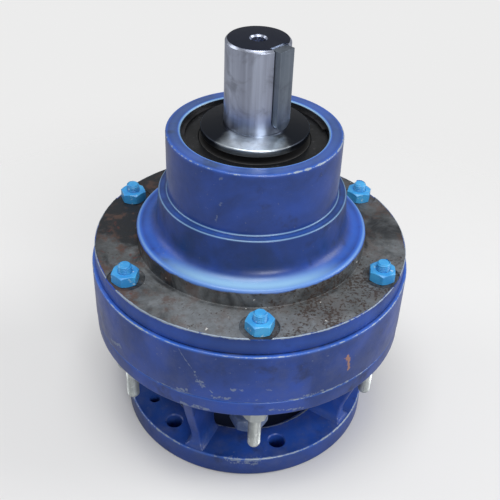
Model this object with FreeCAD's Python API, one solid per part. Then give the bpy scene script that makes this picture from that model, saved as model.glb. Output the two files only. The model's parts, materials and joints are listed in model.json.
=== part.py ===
import FreeCAD, Part
import math
import os

# Cycloidal reducer standing on its motor flange, with the keyed output shaft pointing up.
# Millimetres. The shaft axis is Z, the base of the motor flange is Z = 0, and a bearing angle
# is measured from the front (-Y) towards +X.

# Motor lantern: the lower casting that the motor bolts to
motor_flange_thickness = 18.0
motor_register_radius = 65.0
register_lead_in = 1.0
register_relief = 4.5
register_to_bolt_circle = 20.0
bolt_circle_to_flange_edge = 16.0
motor_bolt_count = 6
motor_bolt_hole_radius = 6.5
motor_bolt_chamfer = 0.9
motor_bolt_angle = 18.8
jack_hole_radius = 4.25
jack_hole_angle = -61.5
window_height = 71.5
plate_thickness = 13.75
plate_inset = 0.4
rib_thickness = 8.0
rib_foot_inset = 5.0
rib_head_inset = 8.0
rib_flare_start = 10.0
rib_flare_curve = 30.0
rib_throat_step = 10.0
rib_throat_curve = 8.0
rib_inner_rise = 14.0
rib_inner_curve = 12.0
rib_fillet = 3.0
rib_nut_gap = 0.7
front_rib_angle = -22.7
lantern_hub_wall = 10.0
lantern_hub_taper = 6.0
lantern_hub_edge = 2.0
hub_seal_recess = 0.85
casting_edge = 1.0
casting_sink = 1.0

# Ring gear case and the parts that the cycloidal discs roll on
gasket_thickness = 0.5
case_edge_distance = 14.9
case_lip_thickness = 6.8
case_edge = 0.8
ring_pin_count = 18
ring_pin_radius = 3.5
ring_pin_end_gap = 0.8
ring_sleeve_radius = 8.0
ring_sleeve_bore_gap = 0.05
ring_sleeve_end_gap = 0.25
channel_gap = 1.0
channel_wall = 7.75
lip_gap = 0.3

# Cycloidal discs
eccentricity = 3.0
disc_thickness = 11.5
disc_spacing = 3.0
disc_end_gap = 2.0
disc_inner_web = 6.8
disc_outer_web = 7.88
profile_gap = 0.12
profile_points_per_lobe = 12
carrier_pin_count = 8
carrier_pin_radius = 7.0
carrier_pin_end_gap = 1.0
carrier_roller_radius = 10.0
carrier_roller_gap = 0.05
carrier_hole_gap = 0.12
spacer_ring_width = 5.5
spacer_ring_gap = 0.3

# Double eccentric with its roller bearings
eccentric_wall = 4.5
lobe_overhang = 0.5
eccentric_roller_radius = 4.0
eccentric_roller_count = 15
eccentric_roller_length = 9.5
eccentric_cage_thickness = 3.0
eccentric_key_width = 10.0
eccentric_key_height = 8.0
eccentric_key_depth = 4.8
eccentric_key_length = 24.0

# Input shaft: hollow for the motor shaft at its lower end
input_shaft_start = 22.0
motor_bore_radius = 14.0
motor_bore_depth = 60.0
motor_keyway_width = 8.0
motor_keyway_depth = 3.3
input_shaft_wall = 6.0
input_collar_step = 4.0
eccentric_seat_radius = 17.5
pilot_radius = 10.0

# Output shaft
shaft_radius = 22.5
shaft_chamfer = 1.6
shaft_centre_hole_radius = 5.1
shaft_centre_hole_depth = 22.0
shaft_centre_cone_depth = 3.5
shaft_key_width = 14.0
shaft_key_height = 9.0
shaft_key_seat_depth = 5.5
shaft_key_length = 58.0
shaft_key_end_gap = 0.8
shaft_key_foot_gap = 3.0
shaft_key_angle = 48.0
seal_seat_step = 2.5
upper_seat_step = 2.5
spacer_seat_step = 2.5
lower_seat_step = 2.5
carrier_neck_step = 4.5
carrier_neck_length = 2.5
carrier_edge_distance = 17.0
carrier_thickness = 14.0
carrier_edge = 1.0
carrier_gap = 4.95
carrier_clearance = 3.0
pilot_bearing_recess = 1.5
pilot_relief_depth = 4.0

# Bearings: radial section and width
lower_bearing_section = 27.5
lower_bearing_width = 23.0
upper_bearing_section = 22.5
upper_bearing_width = 21.0
input_bearing_section = 20.0
input_bearing_width = 18.0
pilot_bearing_section = 13.5
pilot_bearing_width = 14.0
bearing_distance = 31.0
spacer_tube_wall = 6.0
bearing_roller_gap = 0.04
bearing_cage_gap = 0.4
bearing_shoulder = 5.0

# Seals, circlips and the cover at the housing's mouth
output_seal_section = 15.0
input_seal_section = 11.0
seal_width = 8.0
seal_lip_gap = 0.05
circlip_thickness = 1.8
circlip_height = 4.5
circlip_depth = 1.5
circlip_groove_play = 0.1
circlip_opening_angle = 24.0
cover_thickness = 13.5
cover_lip_width = 6.0
cover_rim = 3.0
mouth_depth = 5.5
flinger_mouth_gap = 14.1
flinger_rim_thickness = 5.1
flinger_cone_height = 2.3
flinger_crown = 2.5

# Output housing
housing_flange_inset = 2.7
housing_flange_thickness = 14.15
spigot_spotface_gap = 6.0
spigot_height = 14.0
spigot_edge_radius = 3.0
waist_wall = 10.0
waist_taper = 2.5
waist_fillet = 10.0
waist_drop = 8.5
neck_wall = 10.7
neck_edge_radius = 1.2
mouth_chamfer = 1.0
bearing_web = 5.0
bearing_web_taper = 7.0
locating_lip_height = 3.5
locating_lip_width = 4.2

# Through studs and their nuts
stud_count = 6
stud_angle = 4.6
stud_radius = 5.0
stud_hole_gap = 0.75
stud_thread_gap = 0.05
stud_top_overhang = 5.8
stud_bottom_overhang = 33.0
stud_point = 1.0
spotface_margin = 3.6
spotface_depth = 1.2
nut_across_flats = 18.0
nut_height = 8.4
lower_nut_height = 12.0
nut_turns = (6.0, 22.0, 11.0, 35.0, 48.0, 17.0)

# Oil drain, led down into the lantern
drain_hub_gap = 20.0
drain_angle = 3.5
drain_pipe_radius = 6.0
drain_pipe_wall = 2.5
drain_seat_depth = 8.0
drain_cap_across_flats = 27.0
drain_cap_height = 12.0
drain_cap_wall = 3.0
drain_drop = 59.5

# Clearance of pressed and located parts, and of an edge that stays back from another
seat_gap = 0.02
free_gap = 1.0

axis_z = FreeCAD.Vector(0, 0, 1)
origin = FreeCAD.Vector(0, 0, 0)

# Radii of the input shaft, from the motor's shaft outwards
input_shaft_radius = motor_bore_radius + input_shaft_wall
input_collar_radius = input_shaft_radius + input_collar_step
input_bearing = (input_shaft_radius, input_shaft_radius + input_bearing_section, input_bearing_width)
input_seal_outer_radius = input_shaft_radius + input_seal_section
pilot_bearing = (pilot_radius, pilot_radius + pilot_bearing_section, pilot_bearing_width)

# Radii of the output shaft, from its end inwards
seal_seat_radius = shaft_radius + seal_seat_step
upper_bore_radius = seal_seat_radius + upper_seat_step
spacer_seat_radius = upper_bore_radius + spacer_seat_step
lower_bore_radius = spacer_seat_radius + lower_seat_step
carrier_neck_radius = lower_bore_radius + carrier_neck_step
upper_bearing = (upper_bore_radius, upper_bore_radius + upper_bearing_section, upper_bearing_width)
lower_bearing = (lower_bore_radius, lower_bore_radius + lower_bearing_section, lower_bearing_width)
seal_outer_radius = seal_seat_radius + output_seal_section

# Radii of the cycloid drive, from the eccentric outwards
lobe_radius = eccentric_seat_radius + eccentricity + eccentric_wall
eccentric_roller_circle = lobe_radius + eccentric_roller_radius + bearing_roller_gap
disc_bore_radius = eccentric_roller_circle + eccentric_roller_radius + bearing_roller_gap
carrier_hole_radius = carrier_roller_radius + eccentricity + carrier_hole_gap
carrier_pin_circle_radius = disc_bore_radius + disc_inner_web + carrier_hole_radius
carrier_radius = carrier_pin_circle_radius + carrier_edge_distance
disc_root_radius = carrier_pin_circle_radius + carrier_hole_radius + disc_outer_web
ring_pin_circle_radius = disc_root_radius + eccentricity + ring_sleeve_radius
disc_tip_radius = disc_root_radius + 2 * eccentricity
lip_radius = disc_tip_radius + lip_gap
locating_lip_radius = lip_radius - seat_gap * 2
channel_radius = ring_pin_circle_radius + ring_sleeve_radius + channel_gap

# Radii of the castings
stud_hole_radius = stud_radius + stud_hole_gap
stud_circle_radius = channel_radius + channel_wall + stud_hole_radius
nut_corner_radius = nut_across_flats / math.sqrt(3)
spotface_radius = nut_corner_radius + spotface_margin
case_radius = stud_circle_radius + case_edge_distance
plate_radius = case_radius - plate_inset
housing_flange_radius = case_radius - housing_flange_inset
spigot_radius = stud_circle_radius - spotface_radius - spigot_spotface_gap
waist_radius = lower_bearing[1] + waist_wall
waist_foot_radius = waist_radius + waist_taper
mouth_radius = upper_bearing[1] + cover_rim
neck_radius = mouth_radius + neck_wall
flinger_radius = mouth_radius - flinger_mouth_gap
lantern_hub_radius = input_bearing[1] + lantern_hub_wall
lantern_hub_nose_radius = input_seal_outer_radius + lantern_hub_wall
motor_bolt_circle_radius = motor_register_radius + register_to_bolt_circle
motor_flange_radius = motor_bolt_circle_radius + bolt_circle_to_flange_edge
rib_base_radius = motor_register_radius + register_relief
rib_foot_radius = motor_flange_radius - rib_foot_inset
rib_head_radius = plate_radius - rib_head_inset
rib_throat_radius = lantern_hub_radius + rib_throat_step
drain_circle_radius = lantern_hub_radius + drain_hub_gap

# Heights that follow from the stack of castings
case_height = 2 * (case_lip_thickness + disc_end_gap + disc_thickness) + disc_spacing
plate_bottom = motor_flange_thickness + window_height
plate_top = plate_bottom + plate_thickness
case_bottom = plate_top + gasket_thickness
case_top = case_bottom + case_height
flange_bottom = case_top + gasket_thickness
flange_top = flange_bottom + housing_flange_thickness
spigot_top = flange_top + spigot_height
nut_seat = flange_top - spotface_depth

# Heights inside the ring gear case
channel_bottom = case_bottom + case_lip_thickness
channel_top = case_top - case_lip_thickness
lower_disc_bottom = channel_bottom + disc_end_gap
upper_disc_bottom = lower_disc_bottom + disc_thickness + disc_spacing
upper_disc_top = upper_disc_bottom + disc_thickness
eccentric_middle = lower_disc_bottom + disc_thickness + disc_spacing / 2
eccentric_half = disc_thickness + disc_spacing / 2 + lobe_overhang
eccentric_bottom = eccentric_middle - eccentric_half
eccentric_top = eccentric_middle + eccentric_half

# Heights along the output shaft and in its housing
carrier_bottom = upper_disc_top + carrier_gap
carrier_top = carrier_bottom + carrier_thickness
lower_bearing_bottom = carrier_top + carrier_neck_length
lower_bearing_top = lower_bearing_bottom + lower_bearing_width
upper_bearing_bottom = lower_bearing_top + bearing_distance
upper_bearing_top = upper_bearing_bottom + upper_bearing_width
cover_bottom = upper_bearing_top
cover_top = cover_bottom + cover_thickness
waist_top = upper_bearing_bottom - waist_drop
mouth_top = cover_top + mouth_depth
shaft_shoulder = mouth_top - mouth_chamfer
flinger_rim_top = shaft_shoulder + flinger_rim_thickness
flinger_top = flinger_rim_top + flinger_cone_height
shaft_key_bottom = flinger_top + shaft_key_foot_gap
shaft_top = shaft_key_bottom + shaft_key_length + shaft_key_end_gap

# Heights along the input shaft
pilot_bearing_bottom = carrier_bottom + pilot_bearing_recess
pilot_bearing_top = pilot_bearing_bottom + pilot_bearing_width
input_shaft_top = pilot_bearing_top + pilot_relief_depth / 2
pilot_start = eccentric_top + circlip_thickness + free_gap
input_bearing_top = plate_top - circlip_thickness - free_gap - seat_gap
input_bearing_bottom = input_bearing_top - input_bearing_width
shaft_circlip_bottom = input_bearing_bottom - circlip_thickness - circlip_groove_play
input_seal_top = shaft_circlip_bottom - seat_gap * 10
input_seal_bottom = input_seal_top - seal_width
hub_bottom = input_seal_bottom - hub_seal_recess

# Bearing angles of the four ribs: two stand beside a stud, just clear of its nut
rib_stud_distance = nut_corner_radius + rib_thickness / 2 + rib_nut_gap
rib_stud_offset = math.degrees(math.asin(rib_stud_distance / stud_circle_radius))
side_rib_angle = stud_angle + 360.0 / stud_count - rib_stud_offset
rib_angles = (front_rib_angle, side_rib_angle, front_rib_angle + 180, side_rib_angle + 180)


def place(radius, angle, height=0.0):
    """Point at a radius and bearing angle, seen from the front."""
    turn = math.radians(angle)
    return FreeCAD.Vector(radius * math.sin(turn), -radius * math.cos(turn), height)


def cylinder(radius, bottom, top, centre=origin):
    base = FreeCAD.Vector(centre.x, centre.y, bottom)
    return Part.makeCylinder(radius, top - bottom, base, axis_z)


def tube(outer, inner, bottom, top, centre=origin):
    return cylinder(outer, bottom, top, centre).cut(cylinder(inner, bottom, top, centre))


def cone(lower_radius, upper_radius, bottom, top, centre=origin):
    base = FreeCAD.Vector(centre.x, centre.y, bottom)
    return Part.makeCone(lower_radius, upper_radius, top - bottom, base, axis_z)


def rounded_outline(corners, to_vector):
    """Closed wire through corners (across, up, rounding), each rounding kept within its two edges."""
    points = [to_vector(across, up) for across, up, radius in corners]
    count = len(points)
    halves = []
    reaches = []
    for index in range(count):
        before = points[index - 1] - points[index]
        after = points[(index + 1) % count] - points[index]
        half = before.getAngle(after) / 2
        halves.append(half)
        reaches.append(corners[index][2] / math.tan(half))
    ends = []
    edges = []
    for index in range(count):
        corner = points[index]
        following = (index + 1) % count
        before = points[index - 1] - corner
        after = points[following] - corner
        reach = reaches[index]
        if reach <= 0:
            ends.append((corner, corner))
            continue
        room_before = before.Length * reach / (reach + reaches[index - 1])
        room_after = after.Length * reach / (reach + reaches[following])
        reach = min(reach, room_before, room_after)
        radius = reach * math.tan(halves[index])
        before.normalize()
        after.normalize()
        start = corner + before * reach
        finish = corner + after * reach
        middle_line = (before + after).normalize()
        crown = corner + middle_line * (radius / math.sin(halves[index]) - radius)
        edges.append(Part.Arc(start, crown, finish).toShape())
        ends.append((start, finish))
    for index in range(count):
        start = ends[index][1]
        finish = ends[(index + 1) % count][0]
        if start.distanceToPoint(finish) > 0.0001:
            edges.append(Part.LineSegment(start, finish).toShape())
    return Part.Wire(Part.__sortEdges__(edges))


def turned(corners):
    """Solid turned about the shaft axis from corners (radius, height, corner radius)."""
    wire = rounded_outline(corners, lambda across, up: FreeCAD.Vector(across, 0, up))
    return Part.Face(wire).revolve(origin, axis_z, 360)


def around(shape, count, first_angle=0.0):
    """Copies of a shape spaced evenly about the shaft axis."""
    copies = []
    for index in range(count):
        copy = shape.copy()
        copy.rotate(origin, axis_z, first_angle + 360.0 * index / count)
        copies.append(copy)
    return copies


def join(solids):
    """One solid from overlapping solids."""
    return solids[0].fuse(solids[1:]).removeSplitter()


def stud_holes(radius, bottom, top):
    hole = cylinder(radius, bottom, top, place(stud_circle_radius, 0))
    return around(hole, stud_count, stud_angle)


def hexagon(across_flats, bottom, top, centre, turn):
    """Hexagonal prism with its corners chamfered at both ends, as on a nut."""
    corner_radius = across_flats / math.sqrt(3)
    points = [place(corner_radius, turn + 60 * side) + centre for side in range(7)]
    flat = [FreeCAD.Vector(point.x, point.y, bottom) for point in points]
    prism = Part.Face(Part.makePolygon(flat)).extrude(FreeCAD.Vector(0, 0, top - bottom))
    chamfer = (corner_radius - across_flats / 2) * 0.55
    rim = corner_radius
    face = rim - chamfer * 1.75
    barrel = cylinder(rim, bottom + chamfer, top - chamfer, centre)
    foot = cone(face, rim, bottom, bottom + chamfer, centre)
    head = cone(rim, face, top - chamfer, top, centre)
    return prism.common(join([barrel, foot, head]))


def keyway_box(width, length, inner, outer, bottom, angle):
    """Block that lies along the axis, from an inner to an outer radius at a bearing angle."""
    block = Part.makeBox(width, outer - inner, length)
    block.translate(FreeCAD.Vector(-width / 2, -outer, bottom))
    block.rotate(origin, axis_z, angle)
    return block


def round_ended_key(width, length, inner, outer, bottom, angle):
    """Key with a half-round lower end and a square upper end."""
    shank = keyway_box(width, length - width / 2, inner, outer, bottom + width / 2, angle)
    end = Part.makeCylinder(width / 2, outer - inner, FreeCAD.Vector(0, 0, 0), FreeCAD.Vector(0, 1, 0))
    end.translate(FreeCAD.Vector(0, -outer, bottom + width / 2))
    end.rotate(origin, axis_z, angle)
    return join([shank, end])


def rib():
    """Radial rib of the lantern, deeper towards the plate, with a curved throat."""
    foot = motor_flange_thickness - casting_sink
    head = plate_bottom + casting_sink
    hub_side = lantern_hub_radius - casting_sink * 2
    throat = hub_bottom + lantern_hub_edge
    corners = [
        (rib_base_radius, foot, 0),
        (rib_foot_radius, foot, 0),
        (rib_foot_radius, motor_flange_thickness + rib_flare_start, rib_flare_curve),
        (rib_head_radius, head, 0),
        (hub_side, head, 0),
        (hub_side, throat + lantern_hub_taper, 0),
        (rib_throat_radius, throat, rib_throat_curve),
        (rib_base_radius, motor_flange_thickness + rib_inner_rise, rib_inner_curve),
    ]
    side = rib_thickness / 2
    wire = rounded_outline(corners, lambda across, up: FreeCAD.Vector(-side, -across, up))
    return Part.Face(wire).extrude(FreeCAD.Vector(rib_thickness, 0, 0))


def lantern_body():
    """Motor flange, hub and top plate as one turned blank each, joined by the ribs."""
    relief_start = motor_flange_thickness - register_relief
    flange = turned([
        (motor_register_radius + register_lead_in, 0, 0),
        (motor_flange_radius, 0, casting_edge),
        (motor_flange_radius, motor_flange_thickness, casting_edge),
        (rib_base_radius, motor_flange_thickness, 0),
        (motor_register_radius, relief_start, 0),
        (motor_register_radius, register_lead_in, 0),
    ])
    seat_radius = input_bearing[1] + seat_gap
    shoulder_radius = input_bearing[1] - bearing_shoulder
    seal_radius = input_seal_outer_radius + seat_gap
    head = turned([
        (seal_radius, hub_bottom, 0),
        (lantern_hub_nose_radius, hub_bottom, lantern_hub_edge),
        (lantern_hub_radius, plate_bottom - lantern_hub_taper, 0),
        (lantern_hub_radius, plate_bottom, 0),
        (plate_radius, plate_bottom, casting_edge * 2),
        (plate_radius, plate_top, casting_edge),
        (locating_lip_radius, plate_top, 0),
        (locating_lip_radius, plate_top + locating_lip_height, 0),
        (locating_lip_radius - locating_lip_width, plate_top + locating_lip_height, 0),
        (locating_lip_radius - locating_lip_width, plate_top, 0),
        (seat_radius, plate_top, 0),
        (seat_radius, input_bearing_bottom, 0),
        (shoulder_radius, input_bearing_bottom, 0),
        (shoulder_radius, input_seal_top, 0),
        (seal_radius, input_seal_top, 0),
    ])
    ribs = []
    for angle in rib_angles:
        one = rib()
        one.rotate(origin, axis_z, angle)
        ribs.append(one)
    return join([flange, head] + ribs)


def motor_lantern():
    body = lantern_body()
    body = body.makeFillet(rib_fillet, rib_foot_edges(body))
    low = -1.0
    high = motor_flange_thickness + 1.0
    top = motor_flange_thickness
    hole_place = place(motor_bolt_circle_radius, 0)
    bolt_hole = join([
        cylinder(motor_bolt_hole_radius, low, high, hole_place),
        cone(motor_bolt_hole_radius, motor_bolt_hole_radius + motor_bolt_chamfer * 2,
             top - motor_bolt_chamfer, top + motor_bolt_chamfer, hole_place),
    ])
    cutters = around(bolt_hole, motor_bolt_count, motor_bolt_angle)
    cutters += around(cylinder(jack_hole_radius, low, high, hole_place), 2, jack_hole_angle)
    cutters += stud_holes(stud_hole_radius, plate_bottom - 1, plate_top + 1)
    cutters.append(circlip_groove(input_bearing[1], input_bearing_top, inside=True))
    drain = place(drain_circle_radius, drain_angle)
    seat_top = plate_bottom + drain_seat_depth
    cutters.append(cylinder(drain_pipe_radius + seat_gap, plate_bottom - 1, seat_top, drain))
    cutters.append(cylinder(drain_pipe_radius - drain_pipe_wall, plate_bottom, plate_top + 1, drain))
    return body.cut(cutters)


def rib_foot_edges(body):
    """Long straight edges where the flanks of the ribs meet the motor flange."""
    found = []
    for edge in body.Edges:
        middle = edge.CenterOfMass
        on_flange = abs(middle.z - motor_flange_thickness) < 0.01
        straight = edge.Curve.TypeId == "Part::GeomLine"
        if on_flange and straight and edge.Length > rib_thickness * 2:
            found.append(edge)
    return found


def gasket(bottom, inner, outer):
    ring = tube(outer, inner, bottom, bottom + gasket_thickness)
    return ring.cut(stud_holes(stud_hole_radius, bottom - 1, bottom + gasket_thickness + 1))


def ring_gear_case():
    """Ring with a channel for the sleeves between two lips that hold the ring pins."""
    blank = turned([
        (lip_radius, case_bottom, 0),
        (case_radius, case_bottom, case_edge),
        (case_radius, case_top, case_edge),
        (lip_radius, case_top, 0),
        (lip_radius, channel_top, 0),
        (channel_radius, channel_top, 0),
        (channel_radius, channel_bottom, 0),
        (lip_radius, channel_bottom, 0),
    ])
    pin_hole = cylinder(ring_pin_radius + seat_gap, case_bottom - 1, case_top + 1,
                        FreeCAD.Vector(ring_pin_circle_radius, 0, 0))
    cutters = around(pin_hole, ring_pin_count)
    cutters += stud_holes(stud_hole_radius, case_bottom - 1, case_top + 1)
    return blank.cut(cutters)


def ring_pins():
    pin = cylinder(ring_pin_radius, case_bottom + ring_pin_end_gap, case_top - ring_pin_end_gap,
                   FreeCAD.Vector(ring_pin_circle_radius, 0, 0))
    return Part.makeCompound(around(pin, ring_pin_count))


def ring_pin_sleeves():
    sleeve = tube(ring_sleeve_radius, ring_pin_radius + ring_sleeve_bore_gap,
                  channel_bottom + ring_sleeve_end_gap, channel_top - ring_sleeve_end_gap,
                  FreeCAD.Vector(ring_pin_circle_radius, 0, 0))
    return Part.makeCompound(around(sleeve, ring_pin_count))


def cycloid_point(turn):
    """Point of the disc's edge: the ring pins' path in the disc, less the sleeve and a working gap."""
    lobes = ring_pin_count
    path_x = ring_pin_circle_radius * math.cos(turn) - eccentricity * math.cos(lobes * turn)
    path_y = ring_pin_circle_radius * math.sin(turn) - eccentricity * math.sin(lobes * turn)
    run_x = -ring_pin_circle_radius * math.sin(turn) + lobes * eccentricity * math.sin(lobes * turn)
    run_y = ring_pin_circle_radius * math.cos(turn) - lobes * eccentricity * math.cos(lobes * turn)
    inset = (ring_sleeve_radius + profile_gap) / math.hypot(run_x, run_y)
    return FreeCAD.Vector(path_x - run_y * inset, path_y + run_x * inset, 0)


def cycloid_disc(bottom):
    """Lobed disc with its bearing bore and the holes for the carrier rollers, centred on its own axis."""
    count = (ring_pin_count - 1) * profile_points_per_lobe
    points = [cycloid_point(2 * math.pi * index / count) for index in range(count)]
    curve = Part.BSplineCurve()
    curve.interpolate(Points=points, PeriodicFlag=True)
    blank = Part.Face(Part.Wire(curve.toShape())).extrude(FreeCAD.Vector(0, 0, disc_thickness))
    hole_place = FreeCAD.Vector(carrier_pin_circle_radius, 0, 0)
    hole = cylinder(carrier_hole_radius, -1, disc_thickness + 1, hole_place)
    cutters = around(hole, carrier_pin_count)
    cutters.append(cylinder(disc_bore_radius, -1, disc_thickness + 1))
    disc = blank.cut(cutters)
    disc.translate(FreeCAD.Vector(eccentricity, 0, bottom))
    return disc


def lower_cycloid_disc():
    return cycloid_disc(lower_disc_bottom)


def upper_cycloid_disc():
    """Same disc, half a turn round, so that the two balance."""
    disc = cycloid_disc(upper_disc_bottom)
    disc.rotate(origin, axis_z, 180)
    return disc


def disc_spacer_ring():
    """Ring that keeps the discs apart, outside the carrier rollers."""
    inner = carrier_pin_circle_radius + carrier_roller_radius + spacer_ring_gap
    bottom = lower_disc_bottom + disc_thickness + spacer_ring_gap
    return tube(inner + spacer_ring_width, inner, bottom, upper_disc_bottom - spacer_ring_gap)


def eccentric_sleeve():
    lower = cylinder(lobe_radius, eccentric_bottom, eccentric_middle, FreeCAD.Vector(eccentricity, 0, 0))
    upper = cylinder(lobe_radius, eccentric_middle, eccentric_top, FreeCAD.Vector(-eccentricity, 0, 0))
    bore = cylinder(eccentric_seat_radius + seat_gap, eccentric_bottom - 1, eccentric_top + 1)
    return join([lower, upper]).cut([bore, eccentric_keyway()])


def eccentric_keyway():
    inner = eccentric_seat_radius - eccentric_key_depth
    outer = inner + eccentric_key_height + seat_gap * 2
    length = eccentric_half * 2 + 2
    return keyway_box(eccentric_key_width + seat_gap * 2, length, inner, outer, eccentric_bottom - 1, 0)


def eccentric_key():
    inner = eccentric_seat_radius - eccentric_key_depth + seat_gap
    bottom = eccentric_middle - eccentric_key_length / 2
    outer = inner + eccentric_key_height
    return keyway_box(eccentric_key_width, eccentric_key_length, inner, outer, bottom, 0)


def eccentric_rollers(disc_bottom, side):
    bottom = disc_bottom + (disc_thickness - eccentric_roller_length) / 2
    roller = cylinder(eccentric_roller_radius, bottom, bottom + eccentric_roller_length,
                      FreeCAD.Vector(eccentric_roller_circle, 0, 0))
    group = Part.makeCompound(around(roller, eccentric_roller_count))
    group.translate(FreeCAD.Vector(side * eccentricity, 0, 0))
    return group


def eccentric_cage(disc_bottom, side):
    half = eccentric_cage_thickness / 2
    ring = tube(eccentric_roller_circle + half, eccentric_roller_circle - half,
                disc_bottom, disc_bottom + disc_thickness)
    bottom = disc_bottom + (disc_thickness - eccentric_roller_length) / 2 - bearing_cage_gap / 2
    top = disc_bottom + disc_thickness - (bottom - disc_bottom)
    pocket = cylinder(eccentric_roller_radius + bearing_cage_gap, bottom, top,
                      FreeCAD.Vector(eccentric_roller_circle, 0, 0))
    cage = ring.cut(around(pocket, eccentric_roller_count))
    cage.translate(FreeCAD.Vector(side * eccentricity, 0, 0))
    return cage


def bearing_sizes(bearing):
    """Raceway radii, roller radius, roller circle and roller count of a cylindrical roller bearing."""
    bore, outer, width = bearing
    ring = (outer - bore) * 0.27
    roller = (outer - bore - 2 * ring) / 2 - bearing_roller_gap
    circle = (bore + outer) / 2
    count = int(2 * math.pi * circle / (roller * 2.6))
    return ring, roller, circle, count


def bearing_inner_ring(bearing, bottom):
    ring = bearing_sizes(bearing)[0]
    return tube(bearing[0] + ring, bearing[0] + seat_gap, bottom, bottom + bearing[2])


def bearing_outer_ring(bearing, bottom):
    ring = bearing_sizes(bearing)[0]
    return tube(bearing[1], bearing[1] - ring, bottom, bottom + bearing[2])


def bearing_rollers(bearing, bottom):
    ring, roller, circle, count = bearing_sizes(bearing)
    rim = bearing[2] * 0.18
    one = cylinder(roller, bottom + rim, bottom + bearing[2] - rim, FreeCAD.Vector(circle, 0, 0))
    return Part.makeCompound(around(one, count))


def bearing_cage(bearing, bottom):
    ring, roller, circle, count = bearing_sizes(bearing)
    rim = bearing[2] * 0.18 - bearing_cage_gap
    half = roller * 0.4
    low = bottom + bearing_cage_gap
    high = bottom + bearing[2] - bearing_cage_gap
    body = tube(circle + half, circle - half, low, high)
    pocket = cylinder(roller + bearing_cage_gap, bottom + rim, bottom + bearing[2] - rim,
                      FreeCAD.Vector(circle, 0, 0))
    return body.cut(around(pocket, count))


def circlip_groove(radius, bottom, inside):
    """Groove in a bore, or round a shaft, that takes a circlip lying on a bearing's face."""
    low = bottom + seat_gap
    high = low + circlip_thickness + circlip_groove_play
    floor = circlip_depth + circlip_groove_play
    if inside:
        return tube(radius + floor, radius - 1, low, high)
    return tube(radius + circlip_height, radius - floor, low, high)


def circlip(radius, bottom, inside):
    """Open spring ring: it grips outwards in a bore, and inwards on a shaft."""
    low = bottom + seat_gap * 2
    high = low + circlip_thickness
    outer = radius + circlip_depth if inside else radius - circlip_depth + circlip_height
    inner = outer - circlip_height
    ring = tube(outer, inner, low, high)
    half = math.radians(circlip_opening_angle / 2)
    far = radius * 2
    slot = [origin, FreeCAD.Vector(far * math.cos(half), far * math.sin(half), 0),
            FreeCAD.Vector(far * math.cos(half), -far * math.sin(half), 0), origin]
    gap = Part.Face(Part.makePolygon(slot)).extrude(FreeCAD.Vector(0, 0, high + 1))
    return ring.cut(gap)


def lip_seal(shaft, outer, bottom, top):
    """Rubber shaft seal: an outer case with a lip that leans in to the shaft."""
    wall = (outer - shaft) * 0.22
    return turned([
        (outer - wall, bottom, 0),
        (outer, bottom, 0.5),
        (outer, top, 0.5),
        (shaft + 1.5, top, 0),
        (shaft + 1.5, top - 1.5, 0),
        (shaft + 2.5, top - 2.5, 0),
        (shaft + seal_lip_gap, bottom + 2.5, 0),
        (shaft + 2.0, bottom + 1.0, 0),
        (shaft + 4.5, top - 2.5, 0.5),
        (outer - wall, top - 2.5, 0.5),
    ])


def input_shaft():
    """Stepped shaft: hollow and keyed for the motor, then bearing, collar, eccentric seat and pilot."""
    shaft = turned([
        (0, input_shaft_start, 0),
        (input_shaft_radius - casting_edge, input_shaft_start, 0),
        (input_shaft_radius, input_shaft_start + casting_edge, 0),
        (input_shaft_radius, input_bearing_top, 0),
        (input_collar_radius, input_bearing_top, 0),
        (input_collar_radius, eccentric_bottom, 0),
        (eccentric_seat_radius, eccentric_bottom, 0),
        (eccentric_seat_radius, pilot_start, 0),
        (pilot_radius, pilot_start, 0),
        (pilot_radius, input_shaft_top, 0),
        (0, input_shaft_top, 0),
    ])
    bore_end = input_shaft_start + motor_bore_depth
    bore = cylinder(motor_bore_radius, input_shaft_start - 1, bore_end)
    keyway = keyway_box(motor_keyway_width, motor_bore_depth + 1, 0,
                        motor_bore_radius + motor_keyway_depth, input_shaft_start - 1, 0)
    lower_groove = circlip_groove(input_shaft_radius, shaft_circlip_bottom, inside=False)
    upper_groove = circlip_groove(eccentric_seat_radius, eccentric_top, inside=False)
    return shaft.cut([bore, keyway, lower_groove, upper_groove, eccentric_keyway()])


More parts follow.
